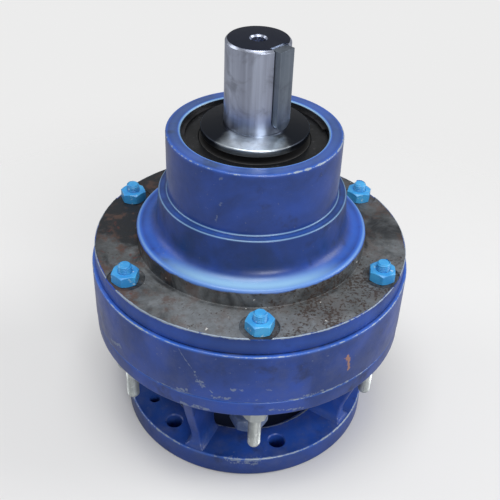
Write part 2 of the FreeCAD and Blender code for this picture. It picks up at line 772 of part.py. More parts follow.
def output_shaft():
    """Carrier disc that holds the pins, bearing seats, seal seat and the keyed end, in one forging."""
    clip_top = upper_bearing_top + circlip_thickness + circlip_groove_play * 4
    upper_seat_bottom = upper_bearing_bottom - free_gap
    shaft = turned([
        (0, carrier_bottom, 0),
        (carrier_radius, carrier_bottom, carrier_edge),
        (carrier_radius, carrier_top, carrier_edge),
        (carrier_neck_radius, carrier_top, carrier_edge),
        (carrier_neck_radius, lower_bearing_bottom, 0),
        (lower_bore_radius, lower_bearing_bottom, 0),
        (lower_bore_radius, lower_bearing_top, 0),
        (spacer_seat_radius, lower_bearing_top, 0),
        (spacer_seat_radius, upper_seat_bottom, 0),
        (upper_bore_radius, upper_seat_bottom, 0),
        (upper_bore_radius, clip_top, 0),
        (seal_seat_radius, clip_top, 0),
        (seal_seat_radius, shaft_shoulder, 0),
        (shaft_radius, shaft_shoulder, 0),
        (shaft_radius, shaft_top - shaft_chamfer * 2, 0),
        (shaft_radius - shaft_chamfer, shaft_top, 0),
        (0, shaft_top, 0),
    ])
    pilot_seat = cylinder(pilot_bearing[1] + seat_gap, carrier_bottom - 1, pilot_bearing_top)
    relief_top = pilot_bearing_top + pilot_relief_depth
    pilot_relief = cylinder(pilot_bearing[1] - bearing_shoulder, pilot_bearing_top - 1, relief_top)
    centre = cylinder(shaft_centre_hole_radius, shaft_top - shaft_centre_hole_depth, shaft_top + 1)
    centre_mouth = cone(shaft_centre_hole_radius, shaft_centre_hole_radius + shaft_centre_cone_depth,
                        shaft_top - shaft_centre_cone_depth, shaft_top + 0.001)
    groove = circlip_groove(upper_bore_radius, upper_bearing_top, inside=False)
    pin_hole = cylinder(carrier_pin_radius + seat_gap, carrier_bottom - 1, carrier_top + 1,
                        FreeCAD.Vector(carrier_pin_circle_radius, 0, 0))
    cutters = around(pin_hole, carrier_pin_count)
    cutters += [pilot_seat, pilot_relief, centre, centre_mouth, groove, shaft_keyway()]
    return shaft.cut(cutters)


def shaft_keyway():
    """Keyway milled in from the end of the shaft."""
    inner = shaft_radius - shaft_key_seat_depth
    width = shaft_key_width + seat_gap * 2
    bottom = shaft_key_bottom - seat_gap
    length = shaft_top - bottom + 1
    return round_ended_key(width, length, inner, shaft_radius + shaft_key_height, bottom, shaft_key_angle)


def output_key():
    inner = shaft_radius - shaft_key_seat_depth
    return round_ended_key(shaft_key_width, shaft_key_length, inner, inner + shaft_key_height,
                           shaft_key_bottom, shaft_key_angle)


def carrier_pins():
    bottom = lower_disc_bottom - carrier_pin_end_gap / 2
    pin = cylinder(carrier_pin_radius, bottom, carrier_top - carrier_pin_end_gap,
                   FreeCAD.Vector(carrier_pin_circle_radius, 0, 0))
    return Part.makeCompound(around(pin, carrier_pin_count))


def carrier_rollers():
    roller = tube(carrier_roller_radius, carrier_pin_radius + carrier_roller_gap,
                  lower_disc_bottom - spacer_ring_gap, carrier_bottom - carrier_pin_end_gap / 2,
                  FreeCAD.Vector(carrier_pin_circle_radius, 0, 0))
    return Part.makeCompound(around(roller, carrier_pin_count))


def bearing_spacer_tube():
    inner = spacer_seat_radius + seat_gap
    return tube(inner + spacer_tube_wall, inner, lower_bearing_top, upper_bearing_bottom)


def output_housing():
    """Flange with its spigot, the waisted body and the neck that holds the bearings and the seal."""
    lower_seat = lower_bearing[1] + seat_gap
    lower_shoulder = lower_bearing[1] - bearing_shoulder
    upper_seat = upper_bearing[1] + seat_gap
    upper_shoulder = upper_bearing[1] - bearing_shoulder
    cavity = carrier_radius + carrier_clearance
    cavity_top = carrier_top + carrier_clearance / 2
    lip_bottom = flange_bottom - locating_lip_height
    lip_inner = locating_lip_radius - locating_lip_width
    web_bottom = upper_bearing_bottom - bearing_web
    body = turned([
        (lip_inner, flange_bottom, 0),
        (lip_inner, lip_bottom, 0),
        (locating_lip_radius, lip_bottom, 0),
        (locating_lip_radius, flange_bottom, 0),
        (housing_flange_radius, flange_bottom, casting_edge),
        (housing_flange_radius, flange_top, casting_edge / 2),
        (spigot_radius, flange_top, 0),
        (spigot_radius, spigot_top, spigot_edge_radius),
        (waist_foot_radius, spigot_top + casting_edge, waist_fillet),
        (waist_radius, waist_top, neck_edge_radius),
        (neck_radius, waist_top + casting_edge / 2, neck_edge_radius),
        (neck_radius, mouth_top, neck_edge_radius),
        (mouth_radius + mouth_chamfer, mouth_top, 0),
        (mouth_radius, mouth_top - mouth_chamfer, 0),
        (mouth_radius, cover_bottom, 0),
        (upper_seat, cover_bottom, 0),
        (upper_seat, upper_bearing_bottom, 0),
        (upper_shoulder, upper_bearing_bottom, 0),
        (upper_shoulder, web_bottom, 0),
        (lower_shoulder, web_bottom - bearing_web_taper, 0),
        (lower_shoulder, lower_bearing_top, 0),
        (lower_seat, lower_bearing_top, 0),
        (lower_seat, cavity_top, 0),
        (cavity, cavity_top, 0),
        (cavity, flange_bottom, 0),
    ])
    cutters = stud_holes(stud_hole_radius, flange_bottom - 1, flange_top + 1)
    cutters += stud_holes(spotface_radius, nut_seat, flange_top + 1)
    cutters.append(circlip_groove(mouth_radius, cover_top, inside=True))
    return body.cut(cutters)


def seal_cover():
    """Black ring in the housing's mouth that holds the shaft seal."""
    seat = seal_outer_radius + seat_gap
    shelf = cover_top - seal_width
    lip = seal_outer_radius - cover_lip_width
    edge = casting_edge / 2
    return turned([
        (lip, cover_bottom, 0),
        (mouth_radius - seat_gap, cover_bottom, 0),
        (mouth_radius - seat_gap, cover_top, edge),
        (seat + edge, cover_top, 0),
        (seat, cover_top - edge, 0),
        (seat, shelf, 0),
        (lip, shelf, 0),
    ])


def flinger_ring():
    """Steel ring on the shaft's shoulder that throws water and dust off the seal."""
    bore = shaft_radius + seat_gap
    return turned([
        (bore, shaft_shoulder, 0),
        (flinger_radius, shaft_shoulder, casting_edge),
        (flinger_radius, flinger_rim_top, casting_edge),
        (bore + flinger_crown, flinger_top, casting_edge),
        (bore, flinger_top, 0),
    ])


def through_studs():
    centre = place(stud_circle_radius, 0)
    bottom = plate_bottom - lower_nut_height - stud_bottom_overhang
    nut_top = nut_seat + nut_height
    top = nut_top + stud_top_overhang
    inner = stud_radius - stud_thread_gap
    stud = join([
        cone(stud_radius - stud_point, inner, bottom, bottom + stud_point, centre),
        cylinder(inner, bottom + stud_point, nut_top + 0.2, centre),
        cylinder(stud_radius, nut_top + 0.2, top - stud_point, centre),
        cone(stud_radius, stud_radius - stud_point, top - stud_point, top, centre),
    ])
    return Part.makeCompound(around(stud, stud_count, stud_angle))


def stud_nuts(bottom, height):
    """Six nuts on the studs, each stopped at its own turn."""
    centre = place(stud_circle_radius, 0)
    nuts = []
    for index, turn in enumerate(nut_turns):
        nut = hexagon(nut_across_flats, bottom, bottom + height, centre, turn)
        nut = nut.cut(cylinder(stud_radius, bottom - 1, bottom + height + 1, centre))
        nut.rotate(origin, axis_z, stud_angle + 360.0 * index / stud_count)
        nuts.append(nut)
    return Part.makeCompound(nuts)


def upper_nuts():
    return stud_nuts(nut_seat, nut_height)


def lower_nuts():
    return stud_nuts(plate_bottom - lower_nut_height, lower_nut_height)


def drain_pipe():
    centre = place(drain_circle_radius, drain_angle)
    bottom = plate_bottom - drain_drop + drain_cap_wall
    top = plate_bottom + drain_seat_depth
    return tube(drain_pipe_radius, drain_pipe_radius - drain_pipe_wall, bottom, top, centre)


def drain_cap():
    centre = place(drain_circle_radius, drain_angle)
    bottom = plate_bottom - drain_drop
    cap = hexagon(drain_cap_across_flats, bottom, bottom + drain_cap_height, centre, -drain_angle)
    return cap.cut(cylinder(drain_pipe_radius + seat_gap, bottom + drain_cap_wall,
                            bottom + drain_cap_height + 1, centre))


def bearing_pieces(name, bearing, bottom):
    """The four pieces of one bearing."""
    return {
        name + "_inner_ring": bearing_inner_ring(bearing, bottom),
        name + "_outer_ring": bearing_outer_ring(bearing, bottom),
        name + "_rollers": bearing_rollers(bearing, bottom),
        name + "_cage": bearing_cage(bearing, bottom),
    }


def all_pieces():
    outer_gasket = lip_radius + free_gap
    pieces = {
        "motor_lantern": motor_lantern(),
        "input_gasket": gasket(plate_top, outer_gasket, plate_radius - free_gap),
        "ring_gear_case": ring_gear_case(),
        "output_gasket": gasket(case_top, outer_gasket, housing_flange_radius - free_gap),
        "output_housing": output_housing(),
        "through_studs": through_studs(),
        "upper_nuts": upper_nuts(),
        "lower_nuts": lower_nuts(),
        "drain_pipe": drain_pipe(),
        "drain_cap": drain_cap(),
        "ring_pins": ring_pins(),
        "ring_pin_sleeves": ring_pin_sleeves(),
        "lower_cycloid_disc": lower_cycloid_disc(),
        "upper_cycloid_disc": upper_cycloid_disc(),
        "disc_spacer_ring": disc_spacer_ring(),
        "eccentric_sleeve": eccentric_sleeve(),
        "eccentric_key": eccentric_key(),
        "lower_eccentric_rollers": eccentric_rollers(lower_disc_bottom, 1),
        "upper_eccentric_rollers": eccentric_rollers(upper_disc_bottom, -1),
        "lower_eccentric_cage": eccentric_cage(lower_disc_bottom, 1),
        "upper_eccentric_cage": eccentric_cage(upper_disc_bottom, -1),
        "eccentric_circlip": circlip(eccentric_seat_radius, eccentric_top, inside=False),
        "input_shaft": input_shaft(),
        "input_seal": lip_seal(
            input_shaft_radius, input_seal_outer_radius, input_seal_bottom, input_seal_top),
        "input_bearing_housing_circlip": circlip(input_bearing[1], input_bearing_top, inside=True),
        "input_bearing_shaft_circlip": circlip(input_shaft_radius, shaft_circlip_bottom, inside=False),
        "output_shaft": output_shaft(),
        "output_key": output_key(),
        "carrier_pins": carrier_pins(),
        "carrier_rollers": carrier_rollers(),
        "bearing_spacer_tube": bearing_spacer_tube(),
        "output_bearing_circlip": circlip(upper_bore_radius, upper_bearing_top, inside=False),
        "seal_cover": seal_cover(),
        "output_seal": lip_seal(seal_seat_radius, seal_outer_radius, cover_top - seal_width, cover_top),
        "seal_cover_circlip": circlip(mouth_radius, cover_top, inside=True),
        "flinger_ring": flinger_ring(),
    }
    pieces.update(bearing_pieces("lower_bearing", lower_bearing, lower_bearing_bottom))
    pieces.update(bearing_pieces("upper_bearing", upper_bearing, upper_bearing_bottom))
    pieces.update(bearing_pieces("input_bearing", input_bearing, input_bearing_bottom))
    pieces.update(bearing_pieces("pilot_bearing", pilot_bearing, pilot_bearing_bottom))
    return pieces


os.makedirs("parts", exist_ok=True)
for name, shape in all_pieces().items():
    solids = shape.Solids
    sound = all(solid.isValid() and solid.isClosed() for solid in solids)
    print(name, len(solids), "sound" if sound else "NOT SOUND", round(sum(s.Volume for s in solids)))
    shape.exportStep("parts/" + name + ".step")
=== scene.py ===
import bpy
import json
import math
from mathutils import Matrix, Vector


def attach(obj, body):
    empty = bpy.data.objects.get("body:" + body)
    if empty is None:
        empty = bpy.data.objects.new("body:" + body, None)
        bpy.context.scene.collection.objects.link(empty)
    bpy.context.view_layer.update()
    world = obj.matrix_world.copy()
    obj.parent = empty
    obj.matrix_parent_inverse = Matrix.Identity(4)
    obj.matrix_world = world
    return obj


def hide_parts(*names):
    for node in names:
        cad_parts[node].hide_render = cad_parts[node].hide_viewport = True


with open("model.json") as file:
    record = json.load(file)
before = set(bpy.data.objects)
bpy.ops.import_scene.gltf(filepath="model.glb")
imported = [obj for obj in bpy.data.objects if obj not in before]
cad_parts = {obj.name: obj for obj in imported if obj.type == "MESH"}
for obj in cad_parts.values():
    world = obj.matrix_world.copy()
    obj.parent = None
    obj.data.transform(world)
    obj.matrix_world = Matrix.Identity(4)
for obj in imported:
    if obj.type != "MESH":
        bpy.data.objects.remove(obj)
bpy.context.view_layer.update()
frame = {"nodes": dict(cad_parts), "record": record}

MM = 0.001
WELD = 0.00001
STEPS = 144

# Sizes in millimetres, as the solids have them. A bearing angle is measured from the front.
RING_TOP = 18.0
RING_RADIUS = 101.0
REGISTER_RADIUS = 65.0
REGISTER_MOUTH_RADIUS = 69.5
REGISTER_RELIEF = 4.5
BOLT_CIRCLE = 85.0
BOLT_ANGLE = 18.8
HUB_BOTTOM = 71.0
PLATE_BOTTOM = 89.5
PLATE_TOP = 103.25
PLATE_RADIUS = 122.0
RIB_ANGLES = (-22.7, 56.5, 157.3, 236.5)
CASE_BOTTOM = 103.75
CASE_TOP = 147.35
CASE_RADIUS = 122.4
LIP_RADIUS = 80.3
TONGUE_INNER = 76.06
TONGUE_OUTER = 80.26
TONGUE_HEIGHT = 3.5
FLANGE_BOTTOM = 147.85
FLANGE_TOP = 162.0
FLANGE_RADIUS = 119.7
SPIGOT_TOP = 176.0
SPIGOT_RADIUS = 87.5
WAIST_TOP = 205.5
WAIST_RADIUS = 70.0
NECK_RADIUS = 63.7
MOUTH_RADIUS = 53.0
MOUTH_TOP = 254.0
UPPER_SEAT_BOTTOM = 214.0
LOWER_SEAT_TOP = 183.0
COVER_BOTTOM = 235.0
COVER_TOP = 248.5
FLINGER_BOTTOM = 253.0
FLINGER_TOP = 260.4
FLINGER_RADIUS = 38.9
KEY_FOOT = 263.4
KEY_ANGLE = 48.0
SHAFT_TOP = 322.2
SHAFT_RADIUS = 22.5
KEYWAY_FLOOR = 17.0
KEY_WIDTH = 13.6
STUD_CIRCLE = 107.5
STUD_ANGLE = 4.6
STUD_RADIUS = 5.0
STUD_HOLE_RADIUS = 5.75
STUD_BOTTOM = 44.5
STUD_TOP = 175.0
NUT_WIDTH = 18.0
NUT_SEAT = 160.8
UPPER_NUT_HEIGHT = 8.4
LOWER_NUT_HEIGHT = 12.0
DRAIN_CIRCLE = 70.0
DRAIN_ANGLE = 3.5


# Modelling

def deselect_all():
    if bpy.context.object and bpy.context.object.mode == "EDIT":
        bpy.ops.object.mode_set(mode="OBJECT")
    bpy.ops.object.select_all(action="DESELECT")


def pick(piece):
    deselect_all()
    piece.select_set(True)
    bpy.context.view_layer.objects.active = piece


def named(name):
    piece = bpy.context.object
    piece.name = name
    piece.data.name = name
    return piece


def settle(piece):
    """Puts the piece's place, turn and size into its mesh."""
    pick(piece)
    bpy.ops.object.transform_apply(location=True, rotation=True, scale=True)
    return piece


def smooth(piece, angle=35):
    pick(piece)
    bpy.ops.object.shade_smooth_by_angle(angle=math.radians(angle))
    return piece


def rounded(corners):
    """Points of a closed outline through corners (across, up), with an arc where a radius follows."""
    points = []
    count = len(corners)
    for index, (across, up, *rounding) in enumerate(corners):
        corner = Vector((across, up))
        if not rounding:
            points.append(corner)
            continue
        radius = rounding[0]
        before = (Vector(corners[index - 1][:2]) - corner).normalized()
        after = (Vector(corners[(index + 1) % count][:2]) - corner).normalized()
        half = before.angle(after) / 2
        reach = radius / math.tan(half)
        centre = corner + (before + after).normalized() * (radius / math.sin(half))
        start = corner + before * reach - centre
        sweep = start.angle_signed(corner + after * reach - centre)
        parts = max(2, min(12, round(abs(sweep) / math.radians(14))))
        for part in range(parts + 1):
            turn = Matrix.Rotation(-sweep * part / parts, 2)
            points.append(centre + turn @ start)
    return points


def open_mesh():
    """Edit mode with all of the mesh selected."""
    bpy.ops.object.mode_set(mode="EDIT")
    bpy.ops.mesh.select_all(action="SELECT")


def close_mesh():
    """Turns every face of the open mesh outward and leaves edit mode."""
    bpy.ops.mesh.select_all(action="SELECT")
    bpy.ops.mesh.normals_make_consistent(inside=False)
    bpy.ops.object.mode_set(mode="OBJECT")


def weld():
    """Joins the points of the mesh that lie on one another."""
    bpy.ops.mesh.select_all(action="SELECT")
    bpy.ops.mesh.remove_doubles(threshold=WELD)


def started(name, radius, height):
    """New mesh of a single point at a radius and height, left open in edit mode."""
    deselect_all()
    bpy.ops.mesh.primitive_plane_add(size=MM)
    piece = named(name)
    open_mesh()
    bpy.ops.mesh.merge(type="CENTER")
    bpy.ops.transform.translate(value=(radius * MM, 0, height * MM))
    return piece


def draw_on(across, up):
    """Draws a line on from the last point, that far across and up in metres."""
    bpy.ops.mesh.extrude_region_move(TRANSFORM_OT_translate={"value": (across, 0, up)})


def turned(name, corners, steps=STEPS):
    """Ring or solid spun about the shaft axis from a closed outline (radius, height, rounding if any)."""
    points = rounded(corners)
    piece = started(name, points[0].x, points[0].y)
    for here, there in zip(points, points[1:] + points[:1]):
        draw_on(*((there - here) * MM))
    weld()
    bpy.ops.mesh.select_all(action="SELECT")
    bpy.ops.mesh.spin(steps=steps, angle=math.tau, center=(0, 0, 0), axis=(0, 0, 1))
    weld()
    close_mesh()
    return piece


def prism(name, sides, radius, bottom, top, rounding=0.0):
    """Upright bar with that many sides, at the origin, with its long edges rounded."""
    deselect_all()
    bpy.ops.mesh.primitive_cylinder_add(
        vertices=sides, radius=radius * MM, depth=(top - bottom) * MM,
        location=(0, 0, (top + bottom) / 2 * MM))
    piece = settle(named(name))
    if rounding:
        open_mesh()
        bpy.ops.mesh.bevel(offset=rounding * MM, segments=2, affect="EDGES")
        bpy.ops.object.mode_set(mode="OBJECT")
    return piece


def block(name, low, high):
    """Box between two corners, for cutting."""
    deselect_all()
    middle = [(a + b) / 2 * MM for a, b in zip(low, high)]
    bpy.ops.mesh.primitive_cube_add(size=1.0, location=middle)
    piece = named(name)
    piece.scale = [(b - a) * MM for a, b in zip(low, high)]
    return settle(piece)


def move_to(piece, radius, angle, turn=0.0):
    """Turns a piece about its own upright axis, then puts it at a radius and bearing angle from the front."""
    bearing = math.radians(angle)
    piece.rotation_euler.z = math.radians(turn + angle)
    piece.location = (radius * MM * math.sin(bearing), -radius * MM * math.cos(bearing), 0)
    return settle(piece)


def copy_of(piece, name):
    pick(piece)
    bpy.ops.object.duplicate()
    return named(name)


def turn_about_axis(piece, angle):
    piece.rotation_euler.z = math.radians(angle)
    return settle(piece)


def joined(name, members):
    deselect_all()
    for member in members:
        member.select_set(True)
    bpy.context.view_layer.objects.active = members[0]
    bpy.ops.object.join()
    return named(name)


def around(piece, count, first_angle=0.0):
    """Copies of a piece spaced evenly about the shaft axis, joined into one."""
    angles = [first_angle + 360.0 * index / count for index in range(count)]
    copies = [copy_of(piece, "copy") for angle in angles[1:]]
    for copy, angle in zip(copies, angles[1:]):
        turn_about_axis(copy, angle)
    turn_about_axis(piece, angles[0])
    return joined(piece.name, [piece] + copies)


def modified(piece, kind, **settings):
    """Adds a modifier with its settings and applies it."""
    pick(piece)
    modifier = piece.modifiers.new("change", kind)
    for key, value in settings.items():
        setattr(modifier, key, value)
    bpy.ops.object.modifier_apply(modifier="change")
    return piece


def combine(piece, tool, operation="DIFFERENCE"):
    """Cuts the tool out of the piece, joins them or keeps what they share, and removes the tool."""
    modified(piece, "BOOLEAN", operation=operation, solver="EXACT", object=tool)
    pick(tool)
    bpy.ops.object.delete()
    pick(piece)
    return piece


def soften(piece, width, angle, segments):
    """Rounds every edge sharper than an angle."""
    return modified(piece, "BEVEL", width=width * MM, segments=segments, limit_method="ANGLE",
                    angle_limit=math.radians(angle))


def thread(name, core, crest, pitch, turns, bottom):
    """Screw thread round an upright axis at the origin, over a plain core."""
    piece = started(name, core, bottom)
    depth = (crest - core) * MM
    flat = pitch * 0.12 * MM
    slope = pitch * 0.38 * MM
    for across, up in ((depth, slope), (0, flat), (-depth, slope), (0, flat)):
        draw_on(across, up)
    bpy.ops.object.mode_set(mode="OBJECT")
    modified(piece, "SCREW", axis="Z", angle=math.tau, screw_offset=pitch * MM, iterations=turns,
             steps=20, render_steps=20, use_merge_vertices=True, merge_threshold=WELD)
    open_mesh()
    weld()
    close_mesh()
    return piece


# Pieces

def stud_holes(bottom, top):
    """Six bars that cut the holes of the studs."""
    hole = prism("stud_hole", 32, STUD_HOLE_RADIUS, bottom, top)
    return around(move_to(hole, STUD_CIRCLE, 0), 6, STUD_ANGLE)


def housing_casting():
    """Output housing: flange, bare spigot, concave waist and the neck with its mouth."""
    upper_seat = 50.0
    lower_seat = 60.0
    carrier_room = 73.0
    room_top = 159.0
    spot_radius = 14.0
    piece = turned("output_housing_casting", [
        (TONGUE_INNER, FLANGE_BOTTOM), (TONGUE_INNER, FLANGE_BOTTOM - TONGUE_HEIGHT, 0.6),
        (TONGUE_OUTER, FLANGE_BOTTOM - TONGUE_HEIGHT, 0.6), (TONGUE_OUTER, FLANGE_BOTTOM),
        (FLANGE_RADIUS, FLANGE_BOTTOM, 1.0), (FLANGE_RADIUS, FLANGE_TOP, 0.7),
        (SPIGOT_RADIUS + 0.1, FLANGE_TOP, 0.8), (SPIGOT_RADIUS, SPIGOT_TOP, 3.0),
        (72.5, SPIGOT_TOP + 1.0, 10.0), (WAIST_RADIUS, WAIST_TOP, 1.3),
        (NECK_RADIUS, WAIST_TOP + 0.6, 1.2), (NECK_RADIUS, MOUTH_TOP, 1.3),
        (MOUTH_RADIUS + 1.0, MOUTH_TOP, 0.3), (MOUTH_RADIUS, MOUTH_TOP - 1.0, 0.3),
        (MOUTH_RADIUS, COVER_BOTTOM), (upper_seat, COVER_BOTTOM), (upper_seat, UPPER_SEAT_BOTTOM),
        (upper_seat - 5.0, UPPER_SEAT_BOTTOM), (upper_seat - 5.0, UPPER_SEAT_BOTTOM - 5.0),
        (lower_seat - 5.0, 202.0), (lower_seat - 5.0, LOWER_SEAT_TOP), (lower_seat, LOWER_SEAT_TOP),
        (lower_seat, room_top), (carrier_room, room_top), (carrier_room, FLANGE_BOTTOM),
    ])
    combine(piece, stud_holes(140, 170))
    spot = turned("spotface", [
        (0, NUT_SEAT), (spot_radius - 0.4, NUT_SEAT, 0.4), (spot_radius, NUT_SEAT + 0.8, 0.2),
        (spot_radius + 0.1, 164.0), (0, 164.0)], 64)
    combine(piece, around(move_to(spot, STUD_CIRCLE, 0), 6, STUD_ANGLE))
    return smooth(piece)


def case_casting():
    """Ring gear case, with the channel for the pins left open inside."""
    # Radii and heights inside the case.
    channel = 94.0
    channel_bottom = 110.55
    channel_top = 140.55
    pin_circle = 85.0
    pin_hole_radius = 3.52
    piece = turned("ring_gear_case_casting", [
        (LIP_RADIUS, CASE_BOTTOM), (CASE_RADIUS, CASE_BOTTOM, 1.0), (CASE_RADIUS, CASE_TOP, 1.1),
        (LIP_RADIUS, CASE_TOP), (LIP_RADIUS, channel_top), (channel, channel_top), (channel, channel_bottom),
        (LIP_RADIUS, channel_bottom),
    ], 192)
    combine(piece, stud_holes(95, 160))
    pin_hole = prism("pin_hole", 24, pin_hole_radius, 95, 160)
    combine(piece, around(move_to(pin_hole, pin_circle, 90), 18))
    return smooth(piece)


def lantern_rib(angle):
    """One cast rib, drawn up from its foot pad in steps that swell at both ends.

    Each level is its height, its inner and outer radius and half its thickness.
    """
    levels = [
        (16.0, 69.6, 99.6, 9.2), (18.2, 69.6, 99.0, 8.2), (19.4, 69.6, 97.6, 6.6),
        (21.2, 69.6, 96.4, 5.2), (24.0, 69.6, 96.0, 4.4), (29.0, 69.6, 96.2, 4.0),
        (34.0, 69.3, 97.2, 4.0), (42.0, 68.2, 99.7, 4.0), (51.0, 66.2, 102.6, 4.0),
        (60.0, 63.4, 105.4, 4.0), (68.0, 60.0, 107.8, 4.0), (74.0, 56.4, 109.4, 4.0),
        (79.0, 51.0, 110.8, 4.2), (83.6, 46.0, 112.2, 4.8), (87.0, 44.0, 113.4, 5.8),
        (88.7, 43.0, 114.6, 7.4), (90.5, 42.0, 116.0, 8.6),
    ]
    deselect_all()
    bpy.ops.mesh.primitive_plane_add(size=2 * MM)
    piece = named("rib")
    open_mesh()
    height, inner, outer, half = levels[0]
    centre = (inner + outer) / 2
    bpy.ops.transform.resize(value=(half, (outer - inner) / 2, 1))
    bpy.ops.transform.translate(value=(0, -centre * MM, height * MM))
    for above in levels[1:]:
        rise = above[0] - height
        shift = (above[1] + above[2]) / 2 - centre
        wide = above[3] / half
        deep = (above[2] - above[1]) / (outer - inner)
        height, inner, outer, half = above
        centre = (inner + outer) / 2
        bpy.ops.mesh.extrude_region_move(TRANSFORM_OT_translate={"value": (0, -shift * MM, rise * MM)})
        bpy.ops.transform.resize(value=(wide, deep, 1), center_override=(0, -centre * MM, height * MM))
    close_mesh()
    soften(piece, 1.7, 50, 4)
    return turn_about_axis(piece, angle)


def lantern_casting():
    """Motor lantern: ring with the motor's bolt holes, four ribs, top plate and hub."""
    input_seat = 40.0
    seat_bottom = 82.05
    jack_angle = -61.5
    jack_hole_radius = 4.25
    bolt_radius = 6.5
    bolt_mouth = 8.0
    ring = turned("lantern_ring", [
        (REGISTER_RADIUS + 1.0, 0), (RING_RADIUS, 0, 1.2), (RING_RADIUS, RING_TOP, 1.4),
        (REGISTER_MOUTH_RADIUS, RING_TOP, 0.5), (REGISTER_RADIUS, RING_TOP - REGISTER_RELIEF, 0.3),
        (REGISTER_RADIUS, 1.0),
    ])
    below = -4.0
    clear = RING_TOP + 4.0
    bolt_hole = turned("bolt_hole", [
        (0, below), (bolt_radius, below), (bolt_radius, RING_TOP - 0.9), (bolt_mouth, RING_TOP + 0.6),
        (bolt_mouth, clear), (0, clear)], 40)
    combine(ring, around(move_to(bolt_hole, BOLT_CIRCLE, 0), 6, BOLT_ANGLE))
    jack_hole = prism("jack_hole", 28, jack_hole_radius, below, clear)
    combine(ring, around(move_to(jack_hole, BOLT_CIRCLE, 0), 2, jack_angle))
    head = turned("lantern_head", [
        (31.0, HUB_BOTTOM, 0.6), (41.0, HUB_BOTTOM, 2.0), (50.0, 83.5, 3.0), (50.0, PLATE_BOTTOM, 4.0),
        (PLATE_RADIUS, PLATE_BOTTOM, 2.2), (PLATE_RADIUS, PLATE_TOP, 1.0), (TONGUE_OUTER, PLATE_TOP),
        (TONGUE_OUTER, PLATE_TOP + TONGUE_HEIGHT, 0.5), (TONGUE_INNER, PLATE_TOP + TONGUE_HEIGHT, 0.5),
        (TONGUE_INNER, PLATE_TOP), (input_seat, PLATE_TOP), (input_seat, seat_bottom), (35.0, seat_bottom),
        (35.0, 79.85), (31.0, 79.85),
    ])
    combine(head, stud_holes(80, 120))
    ribs = [lantern_rib(angle) for angle in RIB_ANGLES]
    return smooth(joined("motor_lantern_casting", [ring, head] + ribs), 40)


def nut(name, bottom, height, turn):
    """Hexagon nut with both faces chamfered to a circle."""
    top = bottom + height
    corner = NUT_WIDTH / math.sqrt(3)
    hexagon = prism(name, 6, corner, bottom, top, 0.15)
    turn_about_axis(hexagon, 30)
    barrel = turned("barrel", [
        (0, bottom - 0.01), (corner - 1.6, bottom - 0.01), (corner + 0.3, bottom + 1.1),
        (corner + 0.3, top - 1.3), (corner - 1.8, top + 0.01), (0, top + 0.01),
    ], 48)
    combine(hexagon, barrel, "INTERSECT")
    mouth = STUD_RADIUS + 0.5
    bore = STUD_RADIUS - 0.4
    hole = turned("nut_hole", [
        (0, bottom - 1), (mouth, bottom - 1), (mouth, bottom), (bore, bottom + 0.9),
        (bore, top - 0.9), (mouth, top), (mouth, top + 1), (0, top + 1),
    ], 32)
    combine(hexagon, hole)
    return turn_about_axis(hexagon, turn)


def nut_set(name, bottom, height):
    """Six nuts, each left at the turn that tightening gave it."""
    nuts = []
    for index, turn in enumerate((6.0, 22.0, 11.0, 35.0, 48.0, 17.0)):
        one = nut("nut", bottom, height, turn)
        nuts.append(move_to(one, STUD_CIRCLE, STUD_ANGLE + 60 * index))
    return smooth(joined(name, nuts), 30)


def stud_set():
    """Through studs: plain shank inside the flanges, cut threads at both ends."""
    pitch = 1.5
    root = STUD_RADIUS - 0.6
    shank_radius = STUD_RADIUS - 0.1
    shank_bottom = 98.0
    shank_top = 158.0
    low = turned("lower_end", [
        (0, STUD_BOTTOM), (root - 0.5, STUD_BOTTOM, 0.3), (root, STUD_BOTTOM + 1),
        (root, shank_bottom + 3), (0, shank_bottom + 3)], 32)
    shank = turned("shank", [
        (0, shank_bottom), (shank_radius, shank_bottom, 0.5), (shank_radius, shank_top, 0.5),
        (0, shank_top)], 32)
    high = turned("upper_end", [
        (0, shank_top - 3), (root, shank_top - 3), (root, STUD_TOP - 0.8),
        (root - 0.6, STUD_TOP, 0.4), (0, STUD_TOP)], 32)
    core = root - 0.15
    crest = STUD_RADIUS - 0.05
    lower_thread = thread("lower_thread", core, crest, pitch, 34, STUD_BOTTOM + 0.7)
    upper_thread = thread("upper_thread", core, crest, pitch, 12, shank_top - 2)
    stud = joined("through_stud_set", [low, shank, high, lower_thread, upper_thread])
    around(move_to(stud, STUD_CIRCLE, 0), 6, STUD_ANGLE)
    return smooth(stud, 40)


def keyway_tool(name, width, bottom, top, inner, outer):
    """Milling path along the shaft with a half-round lower end, before it is turned to its bearing."""
    tool = block(name, (-width / 2, -outer, bottom + width / 2), (width / 2, -inner, top))
    deselect_all()
    bpy.ops.mesh.primitive_cylinder_add(
        vertices=48, radius=width / 2 * MM, depth=(outer - inner) * MM, rotation=(math.pi / 2, 0, 0),
        location=(0, -(outer + inner) / 2 * MM, (bottom + width / 2) * MM))
    end = settle(named("end"))
    return combine(tool, end, "UNION")


